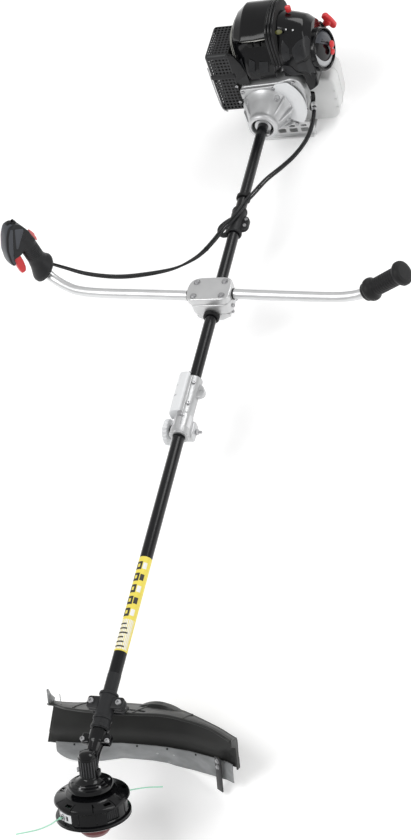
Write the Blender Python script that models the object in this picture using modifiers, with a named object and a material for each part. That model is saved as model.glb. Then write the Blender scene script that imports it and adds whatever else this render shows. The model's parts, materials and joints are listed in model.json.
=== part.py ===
"""Split-shaft petrol brush cutter with a two-handed handlebar and a bump-feed line head.

Machine frame (millimetres in the constants, metres in the scene):
  X  operator's left, Y  along the shaft from the head to the engine, Z  handlebar side.
The machine_frame empty then lays the machine down on the floor: the skirt of the
guard and the skid under the engine both touch Z = 0.
"""
import math

import bmesh
import bpy
from mathutils import Matrix, Vector

MM = 0.001
GAP = 0.3                      # clearance between fitted neighbours

# ---- driving dimensions -------------------------------------------------
TUBE_R, TUBE_RI = 12.0, 10.5   # 24 mm shaft tube, 1.5 mm wall
DRIVE_R = 3.5                  # inner drive shaft
SPLIT_Y = 707.0                # where the two tubes meet inside the coupler
NECK_Y = 1531.0                # mouth of the clutch housing
GEAR_Y = -38.4                 # crossing of shaft axis and spindle axis
SPINDLE_DEG = 51.0             # angle between the shaft and the spindle
HEAD_R = 65.2                  # radius of the line head
BAR_R = 10.5                   # handlebar tube
BAR_Z = 28.0                   # height of the handlebar over the shaft
SKIRT_Y, SKIRT_H = 203.0, -80.0
PITCH = math.radians(3.1)      # lean of the shaft when the machine lies down
SKID_CLEAR = 0.0
PINION_TEETH, GEAR_TEETH = 15, 21

S = math.sin(math.radians(SPINDLE_DEG))
C = math.cos(math.radians(SPINDLE_DEG))
# lowest point of the skirt in the machine frame, which fixes the height of the shaft
LOW_Y = GEAR_Y + SKIRT_Y * S + SKIRT_H * C
LOW_Z = -SKIRT_Y * C + SKIRT_H * S
LIFT = -(LOW_Z * math.cos(PITCH) - LOW_Y * math.sin(PITCH))
SHIFT_Y = -809.5               # brings the middle of the bounding box to Y = 0
SHIFT_X = 8.5

# ---- scene --------------------------------------------------------------
for old in list(bpy.data.objects):
    bpy.data.objects.remove(old, do_unlink=True)
parts = bpy.data.collections.new("brush_cutter")
tools = bpy.data.collections.new("cutters")
bpy.context.scene.collection.children.link(parts)
bpy.context.scene.collection.children.link(tools)


def material(name, colour, rough, metal=0.0):
    found = bpy.data.materials.get(name)
    if found:
        return found
    made = bpy.data.materials.new(name)
    made.use_nodes = True
    shader = made.node_tree.nodes["Principled BSDF"]
    shader.inputs["Base Color"].default_value = (*colour, 1)
    shader.inputs["Roughness"].default_value = rough
    shader.inputs["Metallic"].default_value = metal
    return made


LOOK = {
    "black": ((0.012, 0.012, 0.014), 0.25, 0.0),
    "matte": ((0.035, 0.036, 0.038), 0.6, 0.0),
    "tube": ((0.02, 0.02, 0.022), 0.3, 0.3),
    "alu": ((0.6, 0.61, 0.62), 0.4, 0.9),
    "steel": ((0.5, 0.5, 0.52), 0.3, 1.0),
    "red": ((0.7, 0.05, 0.05), 0.35, 0.0),
    "darkred": ((0.2, 0.01, 0.012), 0.4, 0.0),
    "rubber": ((0.02, 0.02, 0.02), 0.75, 0.0),
    "tank": ((0.85, 0.85, 0.84), 0.35, 0.0),
    "skirt": ((0.35, 0.4, 0.46), 0.3, 0.0),
    "line": ((0.35, 0.85, 0.6), 0.4, 0.0),
}


def empty(name, parent=None, loc=(0, 0, 0), rot=(0, 0, 0)):
    made = bpy.data.objects.new(name, None)
    parts.objects.link(made)
    made.parent = parent
    made.location = Vector(loc) * MM
    made.rotation_euler = rot
    return made


machine = empty("machine_frame", loc=(SHIFT_X, SHIFT_Y, LIFT), rot=(-PITCH, 0, 0))
ALONG_Y = (-math.pi / 2, 0, 0)     # turns local Z to the shaft direction
ALONG_X = (0, math.pi / 2, 0)
head = empty("head_frame", machine, (0, GEAR_Y, 0), (-math.radians(90 - SPINDLE_DEG), 0, 0))


def add(name, data, look, parent=machine, loc=(0, 0, 0), rot=(0, 0, 0), cutter=False, smooth=True):
    made = bpy.data.objects.new(name, data)
    (tools if cutter else parts).objects.link(made)
    made.parent = parent
    made.location = Vector(loc) * MM
    made.rotation_euler = rot
    if cutter:
        made.hide_render = True
        made.display_type = "WIRE"
    else:
        data.materials.clear()
        data.materials.append(material(name + "_" + look, *LOOK[look]))
        if smooth and isinstance(data, bpy.types.Mesh):
            data.shade_smooth()
            data.set_sharp_from_angle(angle=math.radians(35))
    return made


def lathe(name, profile, look, parent=machine, loc=(0, 0, 0), rot=(0, 0, 0), steps=24, cutter=False, ring=False):
    """Profile points (radius, height) run down the outer side; a ring closes on itself."""
    mesh = bpy.data.meshes.new(name)
    points = [(r * MM, 0, z * MM) for r, z in profile]
    edges = [(i, i + 1) for i in range(len(points) - 1)]
    if ring:
        edges.append((len(points) - 1, 0))
    mesh.from_pydata(points, edges, [])
    made = add(name, mesh, look, parent, loc, rot, cutter, smooth=False)
    turn = made.modifiers.new("turn", "SCREW")
    turn.axis = "Z"
    turn.angle = 2 * math.pi
    turn.screw_offset = 0
    turn.steps = turn.render_steps = steps
    turn.use_merge_vertices = True
    turn.merge_threshold = 0.00005
    turn.use_smooth_shade = True
    return made


def tube(name, r_out, r_in, z0, z1, look, **more):
    return lathe(name, [(r_out, z1), (r_out, z0), (r_in, z0), (r_in, z1)], look, ring=True, **more)


def rod(name, r, z0, z1, look, **more):
    return lathe(name, [(0, z1), (r, z1), (r, z0), (0, z0)], look, **more)


def block(name, low, high, look, parent=machine, bevel=0.0, loc=(0, 0, 0), rot=(0, 0, 0), cutter=False, segments=1):
    shape = bmesh.new()
    bmesh.ops.create_cube(shape, size=1.0)
    low, high = Vector(low) * MM, Vector(high) * MM
    for v in shape.verts:
        v.co = Vector([(low[i] + high[i]) / 2 + v.co[i] * (high[i] - low[i]) for i in range(3)])
    mesh = bpy.data.meshes.new(name)
    shape.to_mesh(mesh)
    shape.free()
    made = add(name, mesh, look, parent, loc, rot, cutter)
    if bevel:
        round_ = made.modifiers.new("round", "BEVEL")
        round_.width = bevel * MM
        round_.segments = segments
        round_.limit_method = "ANGLE"
    return made


def to_mesh(curve_object, name):
    """The curve's evaluated mesh with welded caps, ready for Booleans."""
    bpy.context.view_layer.update()
    graph = bpy.context.evaluated_depsgraph_get()
    mesh = bpy.data.meshes.new_from_object(curve_object.evaluated_get(graph))
    shape = bmesh.new()
    shape.from_mesh(mesh)
    bmesh.ops.remove_doubles(shape, verts=shape.verts, dist=1e-6)
    bmesh.ops.recalc_face_normals(shape, faces=shape.faces)
    shape.to_mesh(mesh)
    shape.free()
    bpy.data.objects.remove(curve_object, do_unlink=True)
    mesh.name = name
    return mesh


def plate(name, outline, z0, z1, look, parent=machine, loc=(0, 0, 0), rot=(0, 0, 0), bevel=0.0, cutter=False):
    """A flat outline in local XY, extruded from z0 to z1."""
    curve = bpy.data.curves.new(name + "_outline", "CURVE")
    curve.dimensions = "2D"
    curve.fill_mode = "BOTH"
    curve.extrude = (z1 - z0) / 2 * MM
    line = curve.splines.new("POLY")
    line.points.add(len(outline) - 1)
    for p, (x, y) in zip(line.points, outline):
        p.co = (x * MM, y * MM, 0, 1)
    line.use_cyclic_u = True
    flat = bpy.data.objects.new(name + "_outline", curve)
    tools.objects.link(flat)
    mesh = to_mesh(flat, name)
    mesh.transform(Matrix.Translation((0, 0, (z0 + z1) / 2 * MM)))
    made = add(name, mesh, look, parent, loc, rot, cutter)
    if bevel:
        round_ = made.modifiers.new("round", "BEVEL")
        round_.width = bevel * MM
        round_.segments = 1
        round_.limit_method = "ANGLE"
    return made


def join(target, other, operation="DIFFERENCE"):
    step = target.modifiers.new("with_" + other.name, "BOOLEAN")
    step.operation = operation
    step.object = other
    step.solver = "EXACT"
    return target


def smooth_path(points, count):
    """Evenly spaced points on a Catmull-Rom curve through the given ones."""
    p = [Vector(q) for q in points]
    p = [2 * p[0] - p[1]] + p + [2 * p[-1] - p[-2]]
    dense = []
    for i in range(1, len(p) - 2):
        for k in range(16):
            t = k / 16
            a, b, c, d = p[i - 1], p[i], p[i + 1], p[i + 2]
            dense.append(0.5 * (2 * b + (c - a) * t + (2 * a - 5 * b + 4 * c - d) * t * t + (3 * b - a - 3 * c + d) * t ** 3))
    dense.append(p[-2])
    run = [0.0]
    for a, b in zip(dense, dense[1:]):
        run.append(run[-1] + (b - a).length)
    out, j = [], 0
    for i in range(count):
        want = run[-1] * i / (count - 1)
        while j < len(run) - 2 and run[j + 1] < want:
            j += 1
        f = (want - run[j]) / max(run[j + 1] - run[j], 1e-9)
        out.append(dense[j].lerp(dense[j + 1], min(max(f, 0), 1)))
    return out


def wire(name, points, radius, look, parent=machine, resolution=2, wall=0.0):
    curve = bpy.data.curves.new(name, "CURVE")
    curve.dimensions = "3D"
    curve.bevel_depth = radius * MM
    curve.bevel_resolution = resolution
    curve.use_fill_caps = not wall
    line = curve.splines.new("POLY")
    line.points.add(len(points) - 1)
    for p, q in zip(line.points, points):
        p.co = (q[0] * MM, q[1] * MM, q[2] * MM, 1)
    made = bpy.data.objects.new(name, curve)
    parts.objects.link(made)
    made.parent = parent
    curve.materials.append(material(name + "_" + look, *LOOK[look]))
    if wall:
        thick = made.modifiers.new("wall", "SOLIDIFY")
        thick.thickness = wall * MM
        thick.offset = -1
    return made


def toothed(name, teeth, r_base, r_top, height, z0, bore, look, parent, loc=(0, 0, 0), rot=(0, 0, 0), depth=0.12):
    """A bevel gear blank with raised teeth: wide at z0, narrow at z0 + height, bored through."""
    shape = bmesh.new()
    made = bmesh.ops.create_cone(shape, segments=2 * teeth, radius1=r_base * MM, radius2=r_top * MM,
                                 depth=height * MM, cap_ends=True)
    for i, v in enumerate(made["verts"]):
        turn = round(math.degrees(math.atan2(v.co.y, v.co.x)) / (180 / teeth))
        if turn % 2:
            v.co.x *= 1 - depth
            v.co.y *= 1 - depth
        v.co.z += (z0 + height / 2) * MM
    mesh = bpy.data.meshes.new(name)
    shape.to_mesh(mesh)
    shape.free()
    gear = add(name, mesh, look, parent, loc, rot)
    join(gear, rod(name + "_bore", bore, min(z0, z0 + height) - 5, max(z0, z0 + height) + 5, "steel",
                   parent=parent, loc=loc, rot=rot, steps=16, cutter=True))
    return gear


# ---- shaft ----------------------------------------------------------------
tube("upper_tube", TUBE_R, TUBE_RI, SPLIT_Y + 1, 1563, "tube", rot=ALONG_Y)
tube("lower_tube", TUBE_R, TUBE_RI, 8, SPLIT_Y - 1, "tube", rot=ALONG_Y)
# upper drive shaft with a socket that takes the end of the lower one
lathe("upper_drive_shaft", [(0, 1585), (DRIVE_R, 1585), (DRIVE_R, 745), (7, 740), (7, 712),
                            (4.2, 712), (4.2, 736), (0, 736)], "steel", rot=ALONG_Y, steps=12)
rod("lower_drive_shaft", DRIVE_R, -24, 731, "steel", rot=ALONG_Y, steps=12)

# ---- coupler ----------------------------------------------------------------
barrel = tube("coupler_body", 17.5, TUBE_R + GAP, 658, 800, "alu", rot=ALONG_Y, steps=22)
ears = block("coupler_ears", (-20, 668, -30), (22, 704, -9), "alu", cutter=True)
wing = plate("coupler_wing", [(12, 752), (36, 757), (36, 770), (27, 786), (12, 794)], -4, 5, "alu", cutter=True)
join(barrel, ears, "UNION")
join(barrel, wing, "UNION")
join(barrel, rod("coupler_bore", TUBE_R + GAP, 640, 820, "alu", rot=ALONG_Y, steps=22, cutter=True))
join(barrel, block("coupler_slit", (-1.2, 650, -40), (1.2, 712, -11), "alu", cutter=True))
join(barrel, rod("coupler_screw_bore", 3.4, -30, 30, "alu", loc=(0, 686, -21), rot=ALONG_X, steps=16, cutter=True))
cover = block("coupler_cover", (-29, 706, -7), (-2, 812, 24), "alu", bevel=9, segments=2)
join(cover, rod("coupler_cover_seat", 17.5 + GAP, 690, 830, "alu", rot=ALONG_Y, steps=22, cutter=True))
# star knob and its clamping screw, turned together
knob = lathe("coupler_knob", [(0, 36), (3, 36), (3, -22), (8, -22), (8, -26), (26, -28), (27, -33), (26, -38), (14, -42), (0, -42)],
             "alu", loc=(0, 686, -21), rot=ALONG_X, steps=20)

# ---- harness eye ----------------------------------------------------------------
clamp = tube("harness_clamp", 16.5, TUBE_R + GAP, 1198, 1272, "matte", rot=ALONG_Y, steps=24)
join(clamp, block("harness_lug", (11, 1212, -5), (29, 1246, 5), "matte", cutter=True, bevel=2), "UNION")
join(clamp, plate("harness_eye", [(-10, 1196), (-22, 1192), (-34, 1198), (-41, 1212), (-40, 1226), (-30, 1240), (-18, 1250), (-10, 1252)],
                  -3, 3, "matte", cutter=True), "UNION")
join(clamp, plate("harness_hole", [(-19.5, 1205), (-29, 1203), (-34, 1212), (-33, 1223), (-26, 1233), (-19.5, 1238)],
                  -8, 8, "matte", cutter=True))
join(clamp, rod("harness_bore", TUBE_R + GAP, 1180, 1290, "matte", rot=ALONG_Y, steps=24, cutter=True))

# ---- handlebar and its clamp ----------------------------------------------------------------
CLAMP_Y = 1003.0
bar_points = [(-404.3, 1071.8, 135.5), (-401, 1070.6, 115), (-397.5, 1069.5, 91.4), (-393.9, 1068.2, 68), (-390.5, 1065.8, 55), (-379, 1058.5, 43),
              (-361, 1049, 35.5), (-336, 1037, 30.5), (-307, 1027, 28), (-250, 1018, 28), (-150, 1010.5, 28), (-60, 1003.8, BAR_Z), (-48, 1003, BAR_Z),
              (48, 1003, BAR_Z), (60, 1002.4, BAR_Z), (150, 994.5, 28), (247, 987, 28), (280, 985, 28.8), (305, 984, 32.5), (325, 984, 38),
              (341, 984, 46), (375, 983.6, 68), (410, 983, 90.6)]
wire("handlebar", smooth_path(bar_points, 38), BAR_R, "alu", resolution=2, wall=2.0)


def clamp_layer(name, outline, z0, z1, grooves):
    layer = plate(name, outline, z0, z1, "alu")
    for groove in grooves:
        join(layer, groove)
    return layer


bar_groove = rod("bar_groove", BAR_R + GAP, -70, 70, "alu", loc=(0, CLAMP_Y, BAR_Z), rot=ALONG_X, steps=24, cutter=True)
shaft_groove = rod("shaft_groove", TUBE_R + GAP, 940, 1060, "alu", rot=ALONG_Y, steps=24, cutter=True)
clamp_layer("handlebar_clamp_top", [(-36, 974), (38, 974), (46, 982), (48, 1010), (44, 1028), (30, 1035), (-28, 1035), (-42, 1028), (-48, 1012), (-46, 984)],
            28.4, 46, [bar_groove])
clamp_layer("handlebar_clamp_middle", [(-32, 973), (36, 973), (45, 983), (45, 1025), (34, 1033), (-32, 1033), (-42, 1024), (-42, 984)],
            0.4, 27.6, [bar_groove, shaft_groove])
clamp_layer("handlebar_clamp_base", [(-26, 974), (32, 972), (40, 984), (40, 1020), (30, 1032), (-26, 1032), (-34, 1022), (-34, 984)],
            -19, -0.4, [shaft_groove])

# ---- left grip ----------------------------------------------------------------
GRIP_L = Vector((0.841, -0.011, 0.541)).normalized()
left_frame = empty("left_grip_frame", machine, (341, 984, 46))
left_frame.rotation_euler = Vector((0, 0, 1)).rotation_difference(GRIP_L).to_euler()
lathe("left_grip", [(0, 98), (20, 98), (26, 94), (26.5, 86), (25, 80), (19.5, 77), (18.5, 60), (19, 30), (20, 18), (23, 14), (24, 5), (20, -8),
                    (12, -8), (11.5, -2), (11.5, 90), (0, 90)], "rubber", parent=left_frame, steps=24)

# ---- control handle ----------------------------------------------------------------
# one shell: grip body around the right end of the bar, wide foot, switch head over the fingers
HAND_UP = Vector((-0.15, 0.05, 0.98)).normalized()
HAND_OUT = Vector((-0.64, -0.77, 0.0))
HAND_OUT = (HAND_OUT - HAND_UP * HAND_OUT.dot(HAND_UP)).normalized()
HAND_SIDE = HAND_UP.cross(HAND_OUT)
hand = empty("control_frame", machine, (-393, 1068, 62))
hand.rotation_euler = Matrix((HAND_OUT, HAND_SIDE, HAND_UP)).transposed().to_euler()
grip = lathe("control_grip", [(0, 100), (17, 100), (19, 92), (18.5, 60), (18, 30), (20, 14), (28, 8), (30, 0), (28, -6), (16, -6), (12, 4), (12, 82), (0, 82)],
             "matte", parent=hand, steps=18)
head_shell = plate("control_head", [(-18, 72), (-15, 106), (-9, 126), (2, 138), (18, 138), (32, 124), (49, 98), (57, 68), (57, 50), (52, 44), (46, 46), (45.5, 66), (24, 68), (14, 74)],
                   -17, 17, "matte", parent=hand, rot=(math.pi / 2, 0, 0), bevel=4, cutter=True)
join(grip, head_shell, "UNION")
join(grip, rod("grip_bore", 12, -20, 82, "matte", parent=hand, steps=18, cutter=True))
join(grip, block("trigger_pocket", (21, -8, 60), (48, 8, 80), "matte", parent=hand, cutter=True))
join(grip, block("lock_pocket", (-30, -6, 40), (-16.2, 6, 96), "matte", parent=hand, cutter=True))
# trigger under the switch head, hinged inside its pocket
trigger_frame = empty("trigger_frame", hand, (40, 0, 69))
plate("throttle_trigger", [(4, -3), (4, 4), (-11, 5), (-13, -6), (-12, -22), (-9, -36), (-4, -44), (2, -42), (0, -32), (-1, -20), (1, -8)],
      -6.5, 6.5, "red", parent=trigger_frame, rot=(math.pi / 2, 0, 0), bevel=1.5)
# lock lever on the palm side
lock_frame = empty("lock_frame", hand, (-20, 0, 92))
plate("throttle_lock", [(2.6, 2), (2.6, -4), (-4, -46), (-9, -44), (-10, -30), (-8, -10), (-4, 2)],
      -5, 5, "red", parent=lock_frame, rot=(math.pi / 2, 0, 0), bevel=1)
block("stop_switch", (-6, -5, 0), (6, 5, 6), "red", parent=hand, loc=(8, 0, 138.3), bevel=1.5)

# ---- throttle cable: control handle to engine, tied to the shaft half way ----------------------
cable_route = [(-381, 1092, 44), (-352, 1080, 46), (-292, 1060, 45), (-221, 1049, 44), (-159, 1054, 42), (-98, 1071, 38), (-62, 1098, 34),
               (-43, 1126, 30), (-29, 1161, 26), (-17, 1193, 24), (-4, 1218, 23.2), (9, 1246, 22.8), (18, 1280, 19.5), (27, 1306, 15), (46, 1354, 9),
               (72, 1392, 6), (94, 1426, 5), (111, 1468, 4), (118, 1508, 3), (118, 1547, 3), (114, 1582, 3), (108, 1606, 4), (104, 1622, 6)]
wire("throttle_cable", smooth_path(cable_route, 42), 5.4, "rubber", resolution=2)

# ---- gearcase ----------------------------------------------------------------
case = lathe("gearcase", [(0, 34), (8, 33), (15, 29), (17, 25), (17, -13), (24, -18), (37, -23), (38.7, -25), (38.7, -31), (36.5, -31), (36.5, -26.5),
                          (23, -22), (0, -22)], "black", parent=head, steps=22)
neck = rod("gearcase_neck", 16, 0, 68, "black", parent=machine, loc=(0, GEAR_Y, 0), rot=ALONG_Y, steps=22, cutter=True)
lugs = block("gearcase_lugs", (-27, 6, -7), (27, 26, 7), "black", cutter=True, bevel=2)
join(case, neck, "UNION")
join(case, lugs, "UNION")
join(case, rod("gear_chamber", 13.8, -17, 26, "black", parent=head, steps=24, cutter=True))
join(case, rod("spindle_mouth", 5.4, -30, -10, "black", parent=head, steps=24, cutter=True))
join(case, rod("pinion_chamber", 10.2, 0, 46, "black", loc=(0, GEAR_Y, 0), rot=ALONG_Y, steps=24, cutter=True))
join(case, rod("tube_seat", TUBE_R + GAP, 44, 80, "black", loc=(0, GEAR_Y, 0), rot=ALONG_Y, steps=22, cutter=True))
rod("spindle", 5, -56, 24, "steel", parent=head, steps=16)
toothed("bevel_gear", GEAR_TEETH, 12.1, 7.4, -8, 22, 5.3, "steel", head)
toothed("drive_pinion", PINION_TEETH, 8.6, 5.2, -9, 24, 3.8, "steel", machine, loc=(0, GEAR_Y, 0), rot=ALONG_Y)

# ---- line head ----------------------------------------------------------------
lathe("head_cap", [(5.3, -33.2), (30, -34.2), (63, -43.2), (65.2, -46), (65.2, -49.5), (62.4, -49.5), (62.4, -47), (30, -37), (5.3, -36.2)],
      "black", parent=head, ring=True, steps=32)
drum = lathe("head_housing", [(58, -49.9), (58, -76), (65.2, -78), (65.2, -82), (62, -84), (25.6, -84), (25.6, -81), (54.5, -79), (54.5, -49.9)],
             "black", parent=head, ring=True, steps=32)
OUT = Vector((-0.555, -0.832, 0))
eyelet_turn = (0, math.pi / 2, math.atan2(OUT.y, OUT.x))
for side, sign in (("a", 1), ("b", -1)):
    turn = (0, math.pi / 2, math.atan2(OUT.y * sign, OUT.x * sign))
    join(drum, rod("eyelet_hole_" + side, 4.5, 48, 66, "black", parent=head, loc=(0, 0, -66), rot=turn, steps=12, cutter=True))
lathe("spool", [(46, -50), (46, -52), (22, -52.2), (22, -71.8), (46, -72), (46, -74), (5.6, -74), (5.6, -67), (12.5, -67), (12.5, -50)],
      "black", parent=head, ring=True, steps=22)
lathe("bump_knob", [(0, -74.4), (24.8, -74.4), (24.8, -89.5), (27.5, -91), (26.5, -104), (20, -113), (9, -117), (0, -117)], "darkred", parent=head, steps=22)
# head spring: a coil between the cap and the floor of the spool's recess
coil = [(9.5 * math.cos(2 * math.pi * k / 10), 9.5 * math.sin(2 * math.pi * k / 10), -39.5 - 22 * k / 40) for k in range(41)]
wire("head_spring", coil, 0.8, "steel", parent=head, resolution=0)
wire("line_end_a", smooth_path([(-33.5, -50.2, -66), (-40, -60.5, -66.5), (-46, -74, -68), (-62, -91, -70), (-93, -108, -72)], 10), 1.2, "line", parent=head, resolution=1)
wire("line_end_b", smooth_path([(33.5, 50.2, -66), (41, 61, -66.5), (52, 72, -68), (68, 84, -70), (91, 94, -72)], 10), 1.2, "line", parent=head, resolution=1)

# ---- guard ----------------------------------------------------------------
for side, low, high in (("cap", (-34, 72, 0.4), (34, 94, 9)), ("base", (-34, 72, -9), (34, 94, -0.4))):
    sleeve = rod("guard_bracket_" + side, 15.8, 34, 104, "matte", rot=ALONG_Y, steps=24)
    join(sleeve, block("bracket_ears_" + side, low, high, "matte", cutter=True, bevel=1.5), "UNION")
    if side == "base":
        join(sleeve, block("bracket_foot", (-30, 93, 57.0), (30, 124, 62), "matte", parent=head, cutter=True), "UNION")
        join(sleeve, block("bracket_web", (-11, 95, 59), (11, 118, 72), "matte", parent=head, cutter=True), "UNION")
    join(sleeve, rod("bracket_bore_" + side, TUBE_R + GAP, 20, 120, "matte", rot=ALONG_Y, steps=24, cutter=True))
    half = block("bracket_half_" + side, (-60, 0, -60 if side == "cap" else -0.4), (60, 160, 0.4 if side == "cap" else 60), "matte", cutter=True)
    join(sleeve, half)


def wall_y(x):
    """Distance of the guard's wall behind the spindle, across the machine."""
    marks = [(-176, 193), (-150, 191), (-109, 193), (-58, 201), (-30, 205.5), (30, 205.5), (60, 203.5), (107, 195), (149, 181), (185, 168), (213, 150)]
    for (x0, y0), (x1, y1) in zip(marks, marks[1:]):
        if x <= x1:
            f = (x - x0) / (x1 - x0)
            return y0 + (y1 - y0) * f
    return marks[-1][1]


def wall_top(x):
    return 26 if x < 90 else 26 - 26 * (x - 90) / 123


def grid_surface(name, columns, look, thickness, offset):
    """A shell through columns of points, thickened."""
    rows = len(columns[0])
    verts = [Vector(p) * MM for column in columns for p in column]
    faces = [(i * rows + j, (i + 1) * rows + j, (i + 1) * rows + j + 1, i * rows + j + 1)
             for i in range(len(columns) - 1) for j in range(rows - 1)]
    mesh = bpy.data.meshes.new(name)
    mesh.from_pydata(verts, [], faces)
    made = add(name, mesh, look, head)
    thick = made.modifiers.new("thickness", "SOLIDIFY")
    thick.thickness = thickness * MM
    thick.offset = offset
    thick.use_even_offset = True
    return made


stations = [-176, -158, -135, -109, -84, -58, -30, 0, 30, 60, 84, 107, 128, 149, 168, 185, 200, 213]
columns = []
for x in stations:
    reach = 100 - 72 * min(max((abs(x) - 42) / 110, 0), 1)
    y, top = wall_y(x), wall_top(x)
    columns.append([(x, y - reach, top + 0.29 * reach), (x, y - reach / 2, top + 0.145 * reach), (x, y, top), (x, y + 1, -20), (x, y, -56)])
grid_surface("guard", columns, "matte", 3.0, 0)
skirt_line = [x for x in stations if -160 < x < 210]
# the skirt hangs inside the wall and is the lowest thing under the shaft
# its lower edge runs back to the wall's own line, so it carries the machine on a straight foot
LEVEL = math.tan(math.radians(SPINDLE_DEG) - PITCH)     # slope of the floor seen from the head


def foot(x, y):
    """Height of the skirt's edge: level with the floor over the middle, rising at the ends."""
    level = SKIRT_H - (SKIRT_Y - 1.0 - y) / LEVEL
    return max(level + 0.10 * max(abs(x) - 75, 0), -86.0)


columns = []
for x in skirt_line:
    y = min(wall_y(x) - 3.6, SKIRT_Y - 1.0)
    columns.append([(x, y, -34), (x, y, -58), (x, y, foot(x, y))])
grid_surface("guard_skirt", columns, "skirt", 2.0, 0)
block("line_knife", (-1.2, -9, -106), (1.2, 9, -42), "steel", parent=head, loc=(171, 160.5, 0), rot=(0, 0, math.radians(52)))

# ---- clutch ----------------------------------------------------------------
lathe("clutch_housing", [(50, 1606.5), (52, 1604), (52, 1598), (46, 1590), (34, 1566), (30, 1552), (29, 1536), (27, 1531), (24.5, 1531), (24.5, 1561),
                         (19, 1561), (19, 1537), (TUBE_R + GAP, 1537), (TUBE_R + GAP, 1566), (27, 1566), (42, 1592), (43, 1606.5)],
      "alu", ring=True, rot=ALONG_Y, steps=24)
lathe("clutch_drum", [(38, 1601), (38, 1591), (30, 1578), (8, 1573), (8, 1568.5), (DRIVE_R + GAP, 1568.5), (DRIVE_R + GAP, 1577), (27.5, 1581), (35.5, 1593), (35.5, 1601)],
      "steel", ring=True, rot=ALONG_Y, steps=24)
lathe("clutch_rotor", [(31, 1603), (33, 1600), (33, 1594), (29, 1589.5), (5.4, 1589.5), (5.4, 1603)], "steel", ring=True, rot=ALONG_Y, steps=20)

# ---- engine ----------------------------------------------------------------
CYL_Y = 1681.0
lathe("crankshaft", [(0, 1736), (6, 1736), (6, 1714), (7, 1714), (7, 1698), (27, 1698), (27, 1664), (7, 1664), (7, 1640), (5, 1640), (5, 1588), (0, 1588)],
      "steel", rot=ALONG_Y, steps=20)
lathe("flywheel", [(46, 1642), (47, 1638), (47, 1618), (40, 1614), (10, 1614), (10, 1605), (5.3, 1605), (5.3, 1636), (38, 1636), (42, 1642)],
      "alu", ring=True, rot=ALONG_Y, steps=24)
scroll = [(-54, 60), (38, 64), (72, 73), (90, 60), (96, 32), (94, 2), (85, -28), (64, -50), (34, -60), (-22, -60), (-54, -34)]
fan = plate("fan_housing", [(x, -z) for x, z in scroll], 1607, 1649, "alu", rot=ALONG_Y)
join(fan, rod("fan_chamber", 49, 1611, 1660, "alu", rot=ALONG_Y, steps=32, cutter=True))
join(fan, rod("fan_mouth", 40, 1600, 1612, "alu", rot=ALONG_Y, steps=32, cutter=True))
crank = rod("crankcase", 46, 1650, 1712, "alu", rot=ALONG_Y, steps=22)
join(crank, block("crank_deck", (-34, 1651, 20), (34, 1711, 52), "alu", cutter=True), "UNION")
join(crank, block("crank_foot", (-40, 1654, -58), (40, 1708, -30), "alu", cutter=True), "UNION")
join(crank, rod("crank_chamber", 30, 1658, 1704, "alu", rot=ALONG_Y, steps=24, cutter=True))
join(crank, rod("crank_bore", 8, 1640, 1720, "alu", rot=ALONG_Y, steps=16, cutter=True))
join(crank, rod("crank_top", 20.5, 10, 60, "alu", loc=(0, CYL_Y, 0), steps=24, cutter=True))
fins = [(0, 150)]
for k in range(4):
    z = 150 - 22 * k
    fins += [(43, z), (43, z - 6), (30, z - 7), (30, z - 21)]
fins += [(31, 57), (31, 52.4), (20.4, 52.4), (20.4, 126), (0, 126)]
lathe("cylinder", fins, "alu", loc=(0, CYL_Y, 0), steps=16)
box = block("muffler", (-105, 1654, 58), (-46, 1714, 134), "matte", bevel=6)
# the heat shield is an open sheet box round the muffler
sheet = block("muffler_guard", (-118, 1614, -14), (-58, 1724, 150), "black", bevel=7)
join(sheet, block("shield_inside", (-116.4, 1615.6, -12.4), (-40, 1722.4, 148.4), "black", cutter=True, bevel=6))
FRONT = (math.pi / 2, 0, 0)                 # outline in XZ, thickness along Y
SIDE = (math.pi / 2, 0, math.pi / 2)        # outline in YZ, thickness along X


def front_plate(name, outline, y0, y1, look, **more):
    return plate(name, outline, -y1, -y0, look, rot=FRONT, **more)


def side_plate(name, outline, x0, x1, look, **more):
    return plate(name, outline, x0, x1, look, rot=SIDE, **more)


def inset(outline, d):
    """The outline moved inwards by d."""
    area = sum(x0 * y1 - x1 * y0 for (x0, y0), (x1, y1) in zip(outline, outline[1:] + outline[:1]))
    sign = 1 if area > 0 else -1
    lines = []
    for (x0, y0), (x1, y1) in zip(outline, outline[1:] + outline[:1]):
        n = math.hypot(x1 - x0, y1 - y0)
        nx, ny = -(y1 - y0) / n * sign, (x1 - x0) / n * sign
        lines.append((nx, ny, nx * x0 + ny * y0 + d))
    out = []
    for (a0, b0, c0), (a1, b1, c1) in zip(lines[-1:] + lines[:-1], lines):
        det = a0 * b1 - a1 * b0
        out.append(((c0 * b1 - c1 * b0) / det, (a0 * c1 - a1 * c0) / det))
    return out


def crossed_shell(name, xz, yz, look, wall, floor, edge=3):
    """A hood: the two outlines crossed, hollow and open below the floor height."""
    ys = [y for y, z in yz]
    xs = [x for x, z in xz]
    outer = front_plate(name, xz, min(ys) - 5, max(ys) + 5, look, bevel=edge)
    other = side_plate(name + "_side", yz, min(xs) - 5, max(xs) + 5, look, cutter=True)
    join(outer, other, "INTERSECT")
    drop = lambda points: [(p, q if q > floor else q - 30) for p, q in points]
    hollow = front_plate(name + "_hollow", drop(inset(xz, wall)), min(ys) - 5, max(ys) + 5, look, cutter=True)
    side = side_plate(name + "_hollow_side", drop(inset(yz, wall)), min(xs) - 5, max(xs) + 5, look, cutter=True)
    join(hollow, side, "INTERSECT")
    join(outer, hollow)
    return outer


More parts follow.
